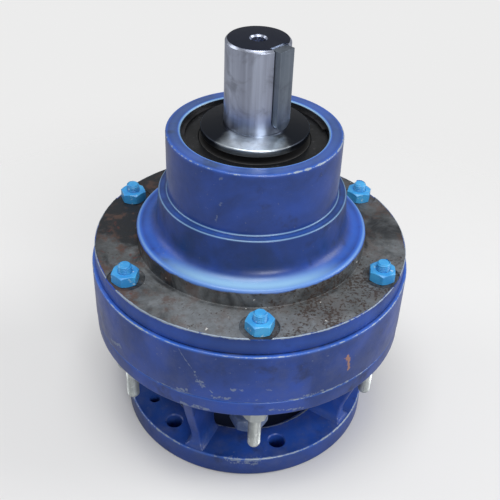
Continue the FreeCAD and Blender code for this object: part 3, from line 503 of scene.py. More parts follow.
def shaft_forging():
    """Output shaft: pin carrier below, bearing seats, and the keyed end with its centre hole."""
    # Heights and radii of the seats and holes, from below to above.
    carrier_bottom = 143.5
    carrier_top = 157.5
    carrier = 70.0
    pin_circle = 53.0
    pin_hole_radius = 7.02
    pilot_pocket = 23.52
    lower_journal = 32.5
    upper_journal = 27.5
    seal_journal = 25.0
    seal_bottom = 237.2
    hole = 5.1
    hole_bottom = 300.2
    keyway_width = 14.7
    piece = turned("output_shaft_forging", [
        (0, carrier_bottom), (carrier, carrier_bottom, 1.0), (carrier, carrier_top, 1.0),
        (lower_journal + 4.5, carrier_top, 1.5), (lower_journal + 4.5, carrier_top + 2.5),
        (lower_journal, carrier_top + 2.5, 0.4), (lower_journal, LOWER_SEAT_TOP, 0.4),
        (30.0, LOWER_SEAT_TOP), (30.0, UPPER_SEAT_BOTTOM - 1.0),
        (upper_journal, UPPER_SEAT_BOTTOM - 1.0, 0.4), (upper_journal, seal_bottom, 0.4),
        (seal_journal, seal_bottom), (seal_journal, FLINGER_BOTTOM),
        (SHAFT_RADIUS, FLINGER_BOTTOM), (SHAFT_RADIUS, SHAFT_TOP - 1.8, 0.8),
        (SHAFT_RADIUS - 1.6, SHAFT_TOP, 0.6), (0, SHAFT_TOP),
    ], 128)
    centre = turned("centre_hole", [
        (0, hole_bottom), (hole, hole_bottom + 2.8), (hole, SHAFT_TOP - 1.4), (hole + 1.3, SHAFT_TOP),
        (hole + 1.3, SHAFT_TOP + 2.8), (0, SHAFT_TOP + 2.8),
    ], 40)
    combine(piece, centre)
    tool = keyway_tool("keyway", keyway_width, KEY_FOOT, 330, KEYWAY_FLOOR, 32)
    combine(piece, turn_about_axis(tool, KEY_ANGLE))
    pin_hole = prism("pin_hole", 32, pin_hole_radius, 140, 160)
    combine(piece, around(move_to(pin_hole, pin_circle, 90), 8))
    combine(piece, prism("pilot_pocket", 64, pilot_pocket, 140, 159))
    return smooth(piece, 30)


def shaft_key():
    """Key of the shaft end, a little narrower than its keyway so that a dark line shows beside it."""
    foot = KEY_FOOT + 0.1
    piece = keyway_tool("output_shaft_key", KEY_WIDTH, foot, SHAFT_TOP - 0.8, KEYWAY_FLOOR + 0.02, 26.0)
    soften(piece, 0.45, 40, 3)
    return smooth(turn_about_axis(piece, KEY_ANGLE), 30)


def drain_pieces():
    """Drain pipe with its hexagon cap."""
    width = 27.0
    bottom = 30.0
    top = 42.0
    pipe = turned("drain_pipe_tube", [
        (3.5, 33.0), (6.0, 33.0), (6.0, PLATE_BOTTOM - 5, 0.4), (7.6, PLATE_BOTTOM - 3, 0.4),
        (7.6, PLATE_BOTTOM), (6.0, PLATE_BOTTOM), (6.0, 97.5), (3.5, 97.5),
    ], 40)
    smooth(move_to(pipe, DRAIN_CIRCLE, DRAIN_ANGLE))
    corner = width / math.sqrt(3)
    cap = prism("drain_hexagon_cap", 6, corner, bottom, top, 0.3)
    turn_about_axis(cap, 30 - DRAIN_ANGLE)
    barrel = turned("barrel", [
        (0, bottom - 0.1), (13.2, bottom - 0.1), (15.9, bottom + 1.6), (15.9, top - 1.6),
        (13.2, top + 0.1), (0, top + 0.1)], 48)
    combine(cap, barrel, "INTERSECT")
    combine(cap, prism("cap_hole", 40, 6.02, bottom + 3, 50))
    smooth(move_to(cap, DRAIN_CIRCLE, DRAIN_ANGLE, -DRAIN_ANGLE), 30)
    return pipe, cap


def input_shaft_forging():
    """Input shaft, bored from below for the motor's shaft, with the motor key's way in the bore."""
    bore = 14.0
    piece = turned("input_shaft_forging", [
        (0, 82.0), (bore, 82.0), (bore, 23.0), (bore + 1.0, 22.0), (20.0, 22.0, 1.0), (20.0, 100.05),
        (24.0, 100.05, 0.5), (24.0, 112.0, 0.5), (17.5, 112.0), (17.5, 141.8), (10.0, 141.8, 0.4),
        (10.0, 161.0, 0.6), (0, 161.0),
    ], 96)
    combine(piece, block("keyway", (-4, -17.3, 20), (4, 0, 83)))
    return smooth(piece, 30)


def flinger_ring():
    """Ring at the foot of the shaft end, with a shallow cone on top."""
    piece = turned("flinger_ring_turned", [
        (SHAFT_RADIUS + 0.1, FLINGER_BOTTOM), (FLINGER_RADIUS, FLINGER_BOTTOM, 0.9),
        (FLINGER_RADIUS, FLINGER_BOTTOM + 5.1, 1.2), (SHAFT_RADIUS + 2.5, FLINGER_TOP, 1.0),
        (SHAFT_RADIUS + 0.1, FLINGER_TOP, 0.3)])
    return smooth(piece)


def seal_cover():
    """Cover in the housing's mouth, bored for the shaft seal."""
    piece = turned("seal_cover_turned", [
        (34.0, COVER_BOTTOM), (MOUTH_RADIUS - 0.1, COVER_BOTTOM), (MOUTH_RADIUS - 0.1, COVER_TOP, 0.8),
        (40.6, COVER_TOP, 0.3), (40.1, COVER_TOP - 0.6), (40.1, COVER_TOP - 8),
        (34.0, COVER_TOP - 8)])
    return smooth(piece)


# Materials

class Graph:
    """Short way to place and wire shader nodes. The place that its patterns read is kept in where."""

    def __init__(self, tree):
        self.tree = tree

    def add(self, kind, sockets=None, **settings):
        made = self.tree.nodes.new(kind)
        for key, value in settings.items():
            setattr(made, key, value)
        for key, value in (sockets or {}).items():
            self.feed(made.inputs[key], value)
        return made

    def feed(self, socket, value):
        if isinstance(value, bpy.types.NodeSocket):
            self.tree.links.new(value, socket)
        elif socket.type == "RGBA" and len(value) == 3:
            socket.default_value = (*value, 1.0)
        else:
            socket.default_value = value

    def maths(self, operation, *values, clamp=False):
        sockets = dict(enumerate(values))
        return self.add("ShaderNodeMath", sockets, operation=operation, use_clamp=clamp).outputs[0]

    def times(self, first, second, clamp=False):
        return self.maths("MULTIPLY", first, second, clamp=clamp)

    def plus(self, first, second):
        return self.maths("ADD", first, second)

    def minus(self, first, second, clamp=False):
        return self.maths("SUBTRACT", first, second, clamp=clamp)

    def largest(self, first, second):
        return self.maths("MAXIMUM", first, second)

    def length(self, across, up):
        """Length of a line that goes that far across and up."""
        squares = self.plus(self.maths("POWER", across, 2.0), self.maths("POWER", up, 2.0))
        return self.maths("SQRT", squares)

    def axes(self, vector):
        """The three parts of a vector."""
        return self.add("ShaderNodeSeparateXYZ", {0: vector}).outputs

    def vectors(self, operation, first, second):
        """Outputs of vector maths on two vectors."""
        return self.add("ShaderNodeVectorMath", {0: first, 1: second}, operation=operation).outputs

    def noise(self, scale, detail, roughness, distortion=0.0, place=None):
        if place is None:
            place = self.where
        return self.add("ShaderNodeTexNoise", {
            "Vector": place, "Scale": scale, "Detail": detail, "Roughness": roughness,
            "Distortion": distortion}).outputs["Fac"]

    def drawn(self, stretch):
        """Noise drawn out into lines, by how fine it is along x, y and z."""
        return self.noise(1.0, 5.0, 0.6, place=self.vectors("MULTIPLY", self.where, stretch)[0])

    def ramp(self, value, low, high):
        """0 below low, 1 above high, and smooth between."""
        made = self.add("ShaderNodeMapRange", {
            "Value": value, "From Min": low, "From Max": high}, interpolation_type="SMOOTHSTEP")
        return made.outputs[0]

    def between(self, value, low, high):
        """The same ramp between two places in millimetres."""
        return self.ramp(value, low * MM, high * MM)

    def blend(self, factor, first, second):
        """Mix of two colours."""
        made = self.add("ShaderNodeMix", {"Factor": factor, 6: first, 7: second}, data_type="RGBA")
        return made.outputs[2]

    def mix(self, factor, first, second):
        """Mix of two values."""
        made = self.add("ShaderNodeMix", {"Factor": factor, 2: first, 3: second}, data_type="FLOAT")
        return made.outputs[0]

    def group(self, made_group, sockets):
        sockets = {"Position": self.where, **sockets}
        return self.add("ShaderNodeGroup", sockets, node_tree=made_group).outputs


DEEP_BLUE = (0.011, 0.043, 0.22)
LIT_BLUE = (0.020, 0.078, 0.43)
PAINTED_HIGHLIGHT_BLUE = (0.04, 0.17, 0.70)
PAINTED_EDGE_HIGHLIGHT = (0.27, 0.50, 0.76)
SHADE_BLUE = (0.007, 0.026, 0.100)
CHIP_COLOUR = (0.33, 0.40, 0.50)
RUST_COLOUR = (0.36, 0.19, 0.15)
MOUTH_BLACK = (0.010, 0.012, 0.016)
DARK_BLUE_GREY = (0.020, 0.028, 0.060)
PAINT_COAT = 0.45
COAT_ROUGHNESS = 0.22
# Main colour, shade and worn spots of a thin coat.
NUT_BLUE = ((0.08, 0.45, 0.83), (0.04, 0.30, 0.70), (0.66, 0.86, 0.92))
ZINC = ((0.74, 0.78, 0.77), (0.52, 0.56, 0.56), (0.86, 0.88, 0.88))

SOCKETS = {"value": "NodeSocketFloat", "colour": "NodeSocketColor", "vector": "NodeSocketVector"}
SURFACE = {"Colour": "colour", "Roughness": "value", "Metallic": "value", "Height": "value"}


def effect(name, inputs, outputs):
    """New shader node group with its named sockets, of which Position comes first."""
    tree = bpy.data.node_groups.new(name, "ShaderNodeTree")
    for title, kind in {"Position": "vector", **inputs}.items():
        tree.interface.new_socket(name=title, in_out="INPUT", socket_type=SOCKETS[kind])
    for title, kind in outputs.items():
        tree.interface.new_socket(name=title, in_out="OUTPUT", socket_type=SOCKETS[kind])
    g = Graph(tree)
    given = g.add("NodeGroupInput").outputs
    g.where = given["Position"]
    return tree, g, given, g.add("NodeGroupOutput").inputs


def ring_wear_effect():
    """Wear along a round edge at a radius and height, broken up by noise. Sizes in metres."""
    tree, g, given, out = effect(
        "round_edge_wear",
        {"Radius": "value", "Height": "value", "Width": "value", "Grain": "value", "Amount": "value"},
        {"Mask": "value"})
    apart = g.axes(g.where)
    radius = g.length(apart[0], apart[1])
    distance = g.length(g.minus(radius, given["Radius"]), g.minus(apart[2], given["Height"]))
    near = g.minus(1.0, g.maths("DIVIDE", distance, given["Width"]), clamp=True)
    fine = g.noise(given["Grain"], 5.0, 0.65)
    coarse = g.noise(22.0, 3.0, 0.5)
    level = g.plus(g.times(fine, 0.6), g.times(coarse, 0.6))
    score = g.plus(g.times(near, 0.5), level)
    limit = g.minus(1.32, g.times(given["Amount"], 0.5))
    hit = g.times(g.minus(score, limit), 14.0, clamp=True)
    inside = g.times(near, 8.0, clamp=True)
    g.feed(out["Mask"], g.times(hit, inside))
    return tree


def scratch_effect():
    """Thin mark from one point to another on the surface, broken along its length."""
    tree, g, given, out = effect(
        "straight_scratch",
        {"Start": "vector", "Span": "vector", "Width": "value", "Ragged": "value"},
        {"Mask": "value"})
    offset = g.vectors("SUBTRACT", g.where, given["Start"])[0]
    along = g.vectors("DOT_PRODUCT", offset, given["Span"])["Value"]
    size = g.vectors("DOT_PRODUCT", given["Span"], given["Span"])["Value"]
    share = g.maths("DIVIDE", along, size, clamp=True)
    foot = g.add("ShaderNodeVectorMath", {0: given["Span"], "Scale": share}, operation="SCALE").outputs[0]
    gap = g.vectors("DISTANCE", offset, foot)["Value"]
    broken = g.ramp(g.noise(380.0, 5.0, 0.7), 0.40, 0.66)
    reach = g.times(given["Width"], g.mix(given["Ragged"], 1.0, g.times(broken, 1.7)))
    g.feed(out["Mask"], g.times(g.minus(reach, gap), 2600.0, clamp=True))
    return tree


def paint_effect():
    """Blue paint over a cast skin: hue, dust with painted sheen, grime and painted highlight bands, chipped
    through to metal where Bare is 1.
    """
    tree, g, given, out = effect(
        "worn_blue_paint",
        {"Deep": "colour", "Lit": "colour", "Bare": "value", "Bare Colour": "colour", "Dust And Sheen": "value",
         "Highlight": "value"},
        SURFACE)
    broad = g.noise(15.0, 5.0, 0.6, 0.4)
    colour = g.blend(g.ramp(broad, 0.34, 0.68), given["Deep"], given["Lit"])
    # Painted highlights: lighter blue in the highlight bands, which also hold less grime.
    colour = g.blend(given["Highlight"], colour, PAINTED_HIGHLIGHT_BLUE)
    facing = g.axes(g.add("ShaderNodeNewGeometry").outputs["Normal"])[2]
    # Dust and painted sheen: a greyish film over the paint, strongest on faces turned upward.
    film = g.ramp(g.noise(60.0, 6.0, 0.7), 0.42, 0.72)
    upward = g.ramp(facing, -0.2, 0.95)
    dust_and_sheen = g.times(g.times(film, g.mix(upward, 0.5, 1.0)), given["Dust And Sheen"])
    colour = g.blend(dust_and_sheen, colour, (0.13, 0.15, 0.24))
    grime = g.times(g.ramp(g.noise(42.0, 4.0, 0.6), 0.56, 0.74), 0.6)
    grime = g.times(grime, g.minus(1.0, given["Highlight"]))
    colour = g.blend(grime, colour, (0.006, 0.011, 0.030))
    pits = g.times(g.ramp(g.noise(420.0, 2.0, 0.5), 0.70, 0.76), 0.5)
    colour = g.blend(pits, colour, (0.16, 0.20, 0.33))
    g.feed(out["Colour"], g.blend(given["Bare"], colour, given["Bare Colour"]))
    gloss = g.mix(g.ramp(g.noise(75.0, 4.0, 0.6), 0.35, 0.7), 0.30, 0.46)
    gloss = g.mix(dust_and_sheen, gloss, 0.75)
    g.feed(out["Roughness"], g.mix(given["Bare"], gloss, 0.52))
    g.feed(out["Metallic"], g.times(given["Bare"], 0.4))
    skin = g.times(g.noise(260.0, 4.0, 0.6), 0.55)
    skin = g.plus(skin, g.times(g.noise(48.0, 3.0, 0.5), 0.9))
    g.feed(out["Height"], g.minus(skin, g.times(given["Bare"], 0.35)))
    return tree


def oxide_effect():
    """Bare iron left outdoors: grey-green skin, dark oil and painted shade, brown pits, rust clouds and
    bright specks.
    """
    tree, g, given, out = effect(
        "oxidised_iron", {"Oil": "value", "Pits": "value", "Rust": "value"}, SURFACE)
    cloud = g.noise(24.0, 6.0, 0.62, 0.6)
    tone = g.blend(g.ramp(cloud, 0.34, 0.66), (0.110, 0.120, 0.128), (0.215, 0.235, 0.255))
    fine = g.ramp(g.noise(260.0, 4.0, 0.65), 0.35, 0.70)
    tone = g.blend(g.times(fine, 0.45), tone, (0.105, 0.105, 0.098))
    # Dark oil patches, spread further by the input, which also brings painted shade.
    oil_and_shade_mask = g.ramp(g.plus(g.noise(33.0, 6.0, 0.65, 0.8), given["Oil"]), 0.62, 0.92)
    tone = g.blend(oil_and_shade_mask, tone, (0.026, 0.029, 0.034))
    brown = g.times(g.ramp(g.noise(70.0, 6.0, 0.7), 0.48, 0.64), given["Rust"], clamp=True)
    tone = g.blend(brown, tone, (0.085, 0.048, 0.038))
    red = g.ramp(g.times(g.noise(120.0, 4.0, 0.6, 0.5), given["Rust"]), 0.52, 0.60)
    tone = g.blend(g.times(red, 0.7), tone, (0.140, 0.045, 0.038))
    holes = g.plus(g.times(g.noise(470.0, 3.0, 0.6), 0.7), g.times(g.noise(90.0, 3.0, 0.5), 0.3))
    pits = g.ramp(g.plus(holes, g.times(given["Pits"], 0.10)), 0.595, 0.66)
    tone = g.blend(g.times(pits, 0.85), tone, (0.050, 0.034, 0.028))
    glint = g.ramp(g.noise(210.0, 2.0, 0.5), 0.735, 0.77)
    tone = g.blend(glint, tone, (0.62, 0.62, 0.60))
    g.feed(out["Colour"], tone)
    g.feed(out["Roughness"], g.mix(brown, g.mix(cloud, 0.38, 0.60), 0.85))
    g.feed(out["Metallic"], g.mix(brown, 0.35, 0.05))
    relief = g.minus(g.noise(600.0, 4.0, 0.6), g.times(pits, 0.7))
    g.feed(out["Height"], g.plus(relief, g.times(brown, 0.4)))
    return tree


def steel_effect():
    """Machined steel: fine lines along one direction, soft blotches, and dark stains."""
    tree, g, given, out = effect(
        "machined_steel",
        {"Stretch": "vector", "Light": "colour", "Dark": "colour", "Stain": "value", "Sheen": "value"},
        {"Colour": "colour", "Roughness": "value", "Height": "value"})
    lines = g.drawn(given["Stretch"])
    blotch = g.noise(55.0, 5.0, 0.6, 0.5)
    tone = g.blend(g.ramp(lines, 0.30, 0.70), given["Dark"], given["Light"])
    stain = g.times(g.ramp(blotch, 0.48, 0.70), given["Stain"], clamp=True)
    tone = g.blend(stain, tone, (0.10, 0.10, 0.125))
    g.feed(out["Colour"], tone)
    rough = g.plus(given["Sheen"], g.times(lines, 0.16))
    g.feed(out["Roughness"], g.plus(rough, g.times(stain, 0.22)))
    g.feed(out["Height"], lines)
    return tree


EDGE_WEAR = ring_wear_effect()
SCRATCH = scratch_effect()
PAINT = paint_effect()
OXIDE = oxide_effect()
STEEL = steel_effect()


def start_material(name):
    """Graph of a new material, with its Principled shader. Its patterns read the place on the piece."""
    material = bpy.data.materials.new(name)
    material.use_nodes = True
    g = Graph(material.node_tree)
    g.material = material
    g.shader = material.node_tree.nodes["Principled BSDF"]
    g.where = g.add("ShaderNodeTexCoord").outputs["Object"]
    return g


def finished(g, made, height, bump, distance):
    """Wires what was made to the shader, with a height as bump, and gives the material."""
    for socket, value in made.items():
        g.feed(g.shader.inputs[socket], value)
    relief = g.add("ShaderNodeBump", {"Strength": bump, "Distance": distance, "Height": height})
    g.feed(g.shader.inputs["Normal"], relief.outputs[0])
    return g.material


def worn_edges(g, edges):
    """Largest wear of several round edges (radius, height, width, grain, amount), in millimetres."""
    total = 0.0
    for radius, height, width, grain, amount in edges:
        band = g.group(EDGE_WEAR, {
            "Radius": radius * MM, "Height": height * MM, "Width": width * MM, "Grain": grain,
            "Amount": amount})[0]
        total = g.largest(total, band)
    return total


def on_surface(radius, angle, height):
    """Place on a round wall, in metres."""
    turn = math.radians(angle)
    return Vector((radius * math.sin(turn), -radius * math.cos(turn), height)) * MM


def marks_at(radius, marks):
    """Marks on a round wall, each from one (angle, height) to another, with a width in millimetres."""
    return [(on_surface(radius, *start), on_surface(radius, *end), width) for start, end, width in marks]


def scratches(g, marks, ragged=1.0):
    """Largest of several marks made by marks_at."""
    total = 0.0
    for first, last, width in marks:
        mask = g.group(SCRATCH, {
            "Start": first, "Span": last - first, "Width": width * MM, "Ragged": ragged})[0]
        total = g.largest(total, mask)
    return total


def radius_of(g):
    """Distance from the shaft axis, and the three parts of the place."""
    apart = g.axes(g.where)
    return g.length(apart[0], apart[1]), apart


def round_bands(g, bands):
    """Soft bands round the shaft axis, each a (radius, height, width, strength), in millimetres."""
    radius, apart = radius_of(g)
    total = 0.0
    for band_radius, height, width, strength in bands:
        distance = g.length(g.minus(radius, band_radius * MM), g.minus(apart[2], height * MM))
        total = g.largest(total, g.times(g.between(distance, width, 0.0), strength))
    return total


def painted(g, bare, dust_and_sheen, highlight_bands):
    """Outputs of the blue paint, worn to metal where bare is 1 and lighter in the painted highlight bands."""
    return g.group(PAINT, {
        "Deep": DEEP_BLUE, "Lit": LIT_BLUE, "Bare": bare, "Bare Colour": CHIP_COLOUR,
        "Dust And Sheen": dust_and_sheen, "Highlight": round_bands(g, highlight_bands)})


def painted_casting(name, edges, marks, highlight_bands, rust_marks=()):
    g = start_material(name)
    faint = g.times(scratches(g, marks), 0.6)
    bare = g.largest(worn_edges(g, edges), faint)
    paint = painted(g, bare, 0.40, highlight_bands)
    rust = scratches(g, rust_marks, 0.45)
    return finished(g, {
        "Base Color": g.blend(rust, paint["Colour"], RUST_COLOUR), "Roughness": paint["Roughness"],
        "Metallic": paint["Metallic"], "Coat Weight": PAINT_COAT, "Coat Roughness": COAT_ROUGHNESS},
        paint["Height"], 0.3, 0.0005)


def case_material():
    """Blue paint, chipped along both rims and scratched on the front, with one rust run."""
    edges = [(CASE_RADIUS - 0.2, CASE_TOP - 0.15, 2.0, 230.0, 0.62),
             (CASE_RADIUS - 0.2, CASE_BOTTOM + 0.15, 2.4, 230.0, 0.76)]
    marks = marks_at(CASE_RADIUS, [
        ((-22.0, 145.0), (-19.8, 137.0), 0.4), ((-19.8, 137.0), (-16.4, 127.0), 0.4),
        ((-16.4, 127.0), (-15.4, 117.4), 0.9), ((-15.4, 119.0), (-13.6, 116.0), 1.9),
        ((-10.6, 106.5), (-4.6, 107.5), 1.2), ((-10.8, 112.0), (-10.6, 106.5), 1.2),
        ((-23.4, 105.2), (-19.4, 107.0), 1.3), ((-4.4, 116.0), (-1.0, 116.4), 1.3),
        ((1.3, 107.1), (4.0, 107.2), 1.0), ((7.6, 116.7), (9.0, 116.0), 0.8),
        ((20.0, 105.2), (27.0, 106.0), 1.1), ((-55.0, 110.1), (-49.0, 114.0), 1.6),
        ((22.0, 138.5), (34.5, 133.0), 0.4)])
    rust = marks_at(CASE_RADIUS, [
        ((36.0, 131.0), (37.2, 117.0), 1.5), ((35.6, 129.5), (36.6, 126.5), 2.3)])
    # Painted highlights: lighter paint along both rims.
    highlight_bands = [(CASE_RADIUS - 0.8, CASE_TOP - 0.15, 2.2, 0.8),
             (CASE_RADIUS - 0.6, CASE_BOTTOM + 0.25, 1.8, 0.5)]
    return painted_casting("case_paint", edges, marks, highlight_bands, rust)


def lantern_material():
    """Blue paint, chipped along the rims of the plate and the ring."""
    edges = [(PLATE_RADIUS, PLATE_BOTTOM + 0.2, 1.5, 420.0, 0.84),
             (PLATE_RADIUS - 0.2, PLATE_TOP - 0.25, 1.8, 220.0, 0.5),
             (RING_RADIUS, RING_TOP, 2.4, 220.0, 0.82), (RING_RADIUS - 0.2, 0.3, 2.0, 220.0, 0.6),
             (REGISTER_MOUTH_RADIUS, RING_TOP, 2.2, 240.0, 0.75)]
    marks = marks_at(RING_RADIUS, [
        ((-6.0, 16.4), (8.0, 15.6), 2.6), ((0.0, 13.6), (6.0, 12.8), 1.6)])
    marks += marks_at(PLATE_RADIUS, [
        ((9.0, 96.0), (20.0, 93.0), 1.2), ((-22.0, 92.0), (-12.0, 92.5), 1.6)])
    # Painted highlights: lighter paint across the ring's top and along the rims of the ring and plate.
    highlight_bands = [(BOLT_CIRCLE + 1.0, RING_TOP + 0.5, 22.0, 0.25), (RING_RADIUS, RING_TOP - 0.2, 2.4, 0.6),
             (PLATE_RADIUS - 0.6, PLATE_TOP - 0.25, 1.8, 0.6)]
    return painted_casting("lantern_paint", edges, marks, highlight_bands)


def housing_paint(g, apart):
    """Paint of the housing: its outputs, and its colour with painted shade on the waist and neck and painted
    highlights along its edges.
    """
    edges = [(NECK_RADIUS - 0.3, MOUTH_TOP - 0.2, 3.0, 260.0, 0.50),
             (FLANGE_RADIUS - 0.2, FLANGE_TOP - 0.2, 2.0, 240.0, 0.80),
             (FLANGE_RADIUS - 0.2, FLANGE_BOTTOM + 0.25, 1.4, 240.0, 0.5)]
    marks = marks_at(NECK_RADIUS, [
        ((-20, 248), (-17, 250), 0.9), ((-22.3, 214), (-21.5, 218), 0.8), ((-19.5, 228), (-18.5, 230), 0.7)])
    marks += marks_at(WAIST_RADIUS + 0.2, [((50, 200), (53, 201), 0.9)])
    # Painted highlights: lighter paint at the spigot's top, the waist, the mouth's rim and the flange's side.
    highlight_bands = [(SPIGOT_RADIUS - 1.5, SPIGOT_TOP + 0.5, 4.5, 0.9), (79.0, SPIGOT_TOP + 0.8, 6.0, 0.40),
             (67.0, WAIST_TOP + 0.7, 2.6, 0.6), (MOUTH_RADIUS + 1.0, MOUTH_TOP, 1.6, 1.0),
             (NECK_RADIUS - 0.7, MOUTH_TOP, 2.0, 0.5), (FLANGE_RADIUS - 0.2, 155.0, 7.0, 0.15)]
    # Painted edge highlights: thin pale lines at the neck's foot, the waist's top, the spigot's edge and the
    # mouth.
    pale = [(NECK_RADIUS, WAIST_TOP + 0.6, 1.1, 0.9), (WAIST_RADIUS - 0.4, WAIST_TOP, 1.0, 0.6),
            (SPIGOT_RADIUS - 1.5, SPIGOT_TOP - 0.4, 1.8, 0.45), (58.0, MOUTH_TOP, 6.0, 0.10),
            (MOUTH_RADIUS + 0.6, MOUTH_TOP - 0.4, 1.3, 1.0)]
    faint = g.times(scratches(g, marks), 0.4)
    bare = g.largest(worn_edges(g, edges), faint)
    paint = painted(g, bare, 0.12, highlight_bands)
    # Painted highlight: a sheen on the spigot's fillet, at the front only.
    front = g.between(apart[1], -45.0, -80.0)
    sheen = g.times(round_bands(g, [(81.5, SPIGOT_TOP + 0.5, 8.5, 1.0)]), front)
    light = g.largest(round_bands(g, pale), sheen)
    # Painted shade: the waist darkened, and the neck less so, in soft clouds.
    waist = g.times(g.between(apart[2], SPIGOT_TOP + 1.0, SPIGOT_TOP + 8.0),
                    g.between(apart[2], WAIST_TOP + 2.0, WAIST_TOP + 0.5))
    neck = g.times(g.between(apart[2], WAIST_TOP + 0.5, WAIST_TOP + 2.0),
                   g.between(apart[2], MOUTH_TOP - 0.5, MOUTH_TOP - 4.0))
    cloudy = g.mix(g.ramp(g.noise(38.0, 4.0, 0.6), 0.35, 0.65), 0.55, 1.0)
    shaded = g.largest(g.times(waist, 0.80), g.times(neck, 0.42))
    dim = g.blend(g.times(shaded, cloudy), paint["Colour"], SHADE_BLUE)
    return paint, g.blend(light, dim, PAINTED_EDGE_HIGHLIGHT)


def housing_iron(g, radius, apart):
    """Bare iron of the flange face and spigot: rusty on the left, darker behind and beside the spigot, with
    painted shade in the nut seats, pitted on the right.
    """
    left = g.between(apart[0], 10.0, -90.0)
    back = g.between(apart[1], -70.0, 20.0)
    pitted = g.times(g.between(apart[0], -10.0, 45.0), g.between(apart[1], 0.0, -60.0))
    # Darker beside the spigot, on the left and behind, and painted shade in the hollows of the nut seats.
    beside = g.between(radius, SPIGOT_RADIUS + 6.0, SPIGOT_RADIUS + 2.0)
    seats = g.between(apart[2], NUT_SEAT + 0.6, NUT_SEAT + 0.3)
    oil_and_shade = g.largest(g.times(beside, 0.27), g.times(seats, 0.26))
    oil_and_shade = g.largest(oil_and_shade, g.times(left, g.mix(back, 0.14, 0.52)))
    oil_and_shade = g.largest(oil_and_shade, g.times(back, 0.26))
    rust = g.largest(g.mix(left, 0.25, 0.85), g.times(back, 0.6))
    return g.group(OXIDE, {"Oil": oil_and_shade, "Pits": pitted, "Rust": rust})


def housing_material():
    """Paint on the waist, neck and flange edge; bare iron on the flange face and spigot; black mouth."""
    g = start_material("housing_finish")
    radius, apart = radius_of(g)
    wobble = g.times(g.minus(g.noise(70.0, 5.0, 0.65), 0.5), 0.004)
    below = g.between(g.plus(apart[2], wobble), SPIGOT_TOP - 1.4, SPIGOT_TOP - 2.4)
    above = g.between(apart[2], NUT_SEAT - 1.2, NUT_SEAT - 0.6)
    rim = g.between(g.plus(radius, g.times(wobble, 0.8)), FLANGE_RADIUS - 0.5, FLANGE_RADIUS - 1.0)
    raw = g.times(g.times(below, above), rim)
    paint, skin = housing_paint(g, apart)
    iron = housing_iron(g, radius, apart)
    # Near-black on the wall of the mouth's bore.
    inner = g.times(g.between(radius, MOUTH_RADIUS + 0.35, MOUTH_RADIUS + 0.1),
                    g.between(apart[2], 200.0, 202.0))
    colour = g.blend(raw, skin, iron["Colour"])
    glossy = g.mix(g.between(apart[2], WAIST_TOP - 2.0, WAIST_TOP + 2.0), 0.12, PAINT_COAT)
    return finished(g, {
        "Base Color": g.blend(inner, colour, MOUTH_BLACK),
        "Roughness": g.mix(raw, paint["Roughness"], iron["Roughness"]),
        "Metallic": g.mix(raw, paint["Metallic"], iron["Metallic"]),
        "Coat Weight": g.mix(raw, glossy, 0.0), "Coat Roughness": COAT_ROUGHNESS},
        g.mix(raw, paint["Height"], iron["Height"]), 0.3, 0.0005)


def machined(g, light, dark, stretch, stain, sheen):
    """Outputs of machined steel. Stretch says how fine its lines are along x, y and z."""
    return g.group(STEEL, {
        "Stretch": stretch, "Light": light, "Dark": dark, "Stain": stain, "Sheen": sheen})


def steel_material(name, light, dark, stretch, stain, sheen):
    g = start_material(name)
    steel = machined(g, light, dark, stretch, stain, sheen)
    return finished(g, {
        "Base Color": steel["Colour"], "Roughness": steel["Roughness"], "Metallic": 1.0},
        steel["Height"], 0.08, 0.0002)


def shaft_material():
    """Ground steel, fine along the axis, with a darker end face and foot."""
    g = start_material("shaft_steel")
    apart = radius_of(g)[1]
    steel = machined(g, (0.70, 0.77, 0.94), (0.46, 0.50, 0.62), (160.0, 160.0, 5.0), 0.42, 0.22)
    end = g.between(apart[2], SHAFT_TOP - 0.4, SHAFT_TOP - 0.1)
    ragged = g.plus(apart[2], g.times(g.noise(60.0, 4.0, 0.6), 0.012))
    foot = g.times(g.between(ragged, 276.0, 264.0), 0.55)
    dull = g.largest(g.times(end, 0.97), foot)
    return finished(g, {
        "Base Color": g.blend(dull, steel["Colour"], DARK_BLUE_GREY),
        "Roughness": g.mix(end, steel["Roughness"], 0.42), "Metallic": 1.0},
        steel["Height"], 0.05, 0.0002)


def flinger_material():
    """Turned steel ring with a painted reflection: dark round the back and sides, bright at its front."""
    g = start_material("flinger_steel")
    radius, apart = radius_of(g)
    steel = machined(g, (0.86, 0.94, 1.0), (0.60, 0.68, 0.76), (60.0, 60.0, 700.0), 0.35, 0.26)
    bearing = g.maths("DIVIDE", apart[1], g.largest(radius, 0.001))
    ragged = g.times(g.minus(g.noise(45.0, 4.0, 0.6), 0.5), 0.5)
    # Painted reflection: bright steel at the front, near-black round the back and sides.
    front = g.ramp(g.plus(bearing, ragged), -0.60, -0.92)
    return finished(g, {
        "Base Color": g.blend(front, (0.030, 0.036, 0.050), steel["Colour"]),
        "Roughness": steel["Roughness"], "Metallic": 1.0}, steel["Height"], 0.08, 0.0002)


def coat(g, colour, shade, worn, grain):
    """Colour of a thin coat in two tones, with small worn spots, and its cloud pattern."""
    cloud = g.ramp(g.noise(65.0, 5.0, 0.6), 0.35, 0.68)
    spot = g.ramp(g.noise(grain, 5.0, 0.68), 0.60, 0.68)
    tone = g.blend(cloud, shade, colour)
    return g.blend(g.times(spot, 0.7), tone, worn), cloud


def coated_material(name, colour, shade, worn, roughness, metallic):
    """Thin paint, zinc, rubber or brass."""
    g = start_material(name)
    tone, cloud = coat(g, colour, shade, worn, 240.0)
    return finished(g, {
        "Base Color": tone, "Roughness": g.mix(cloud, roughness + 0.08, roughness - 0.06),
        "Metallic": metallic}, g.noise(700.0, 3.0, 0.6), 0.15, 0.0003)


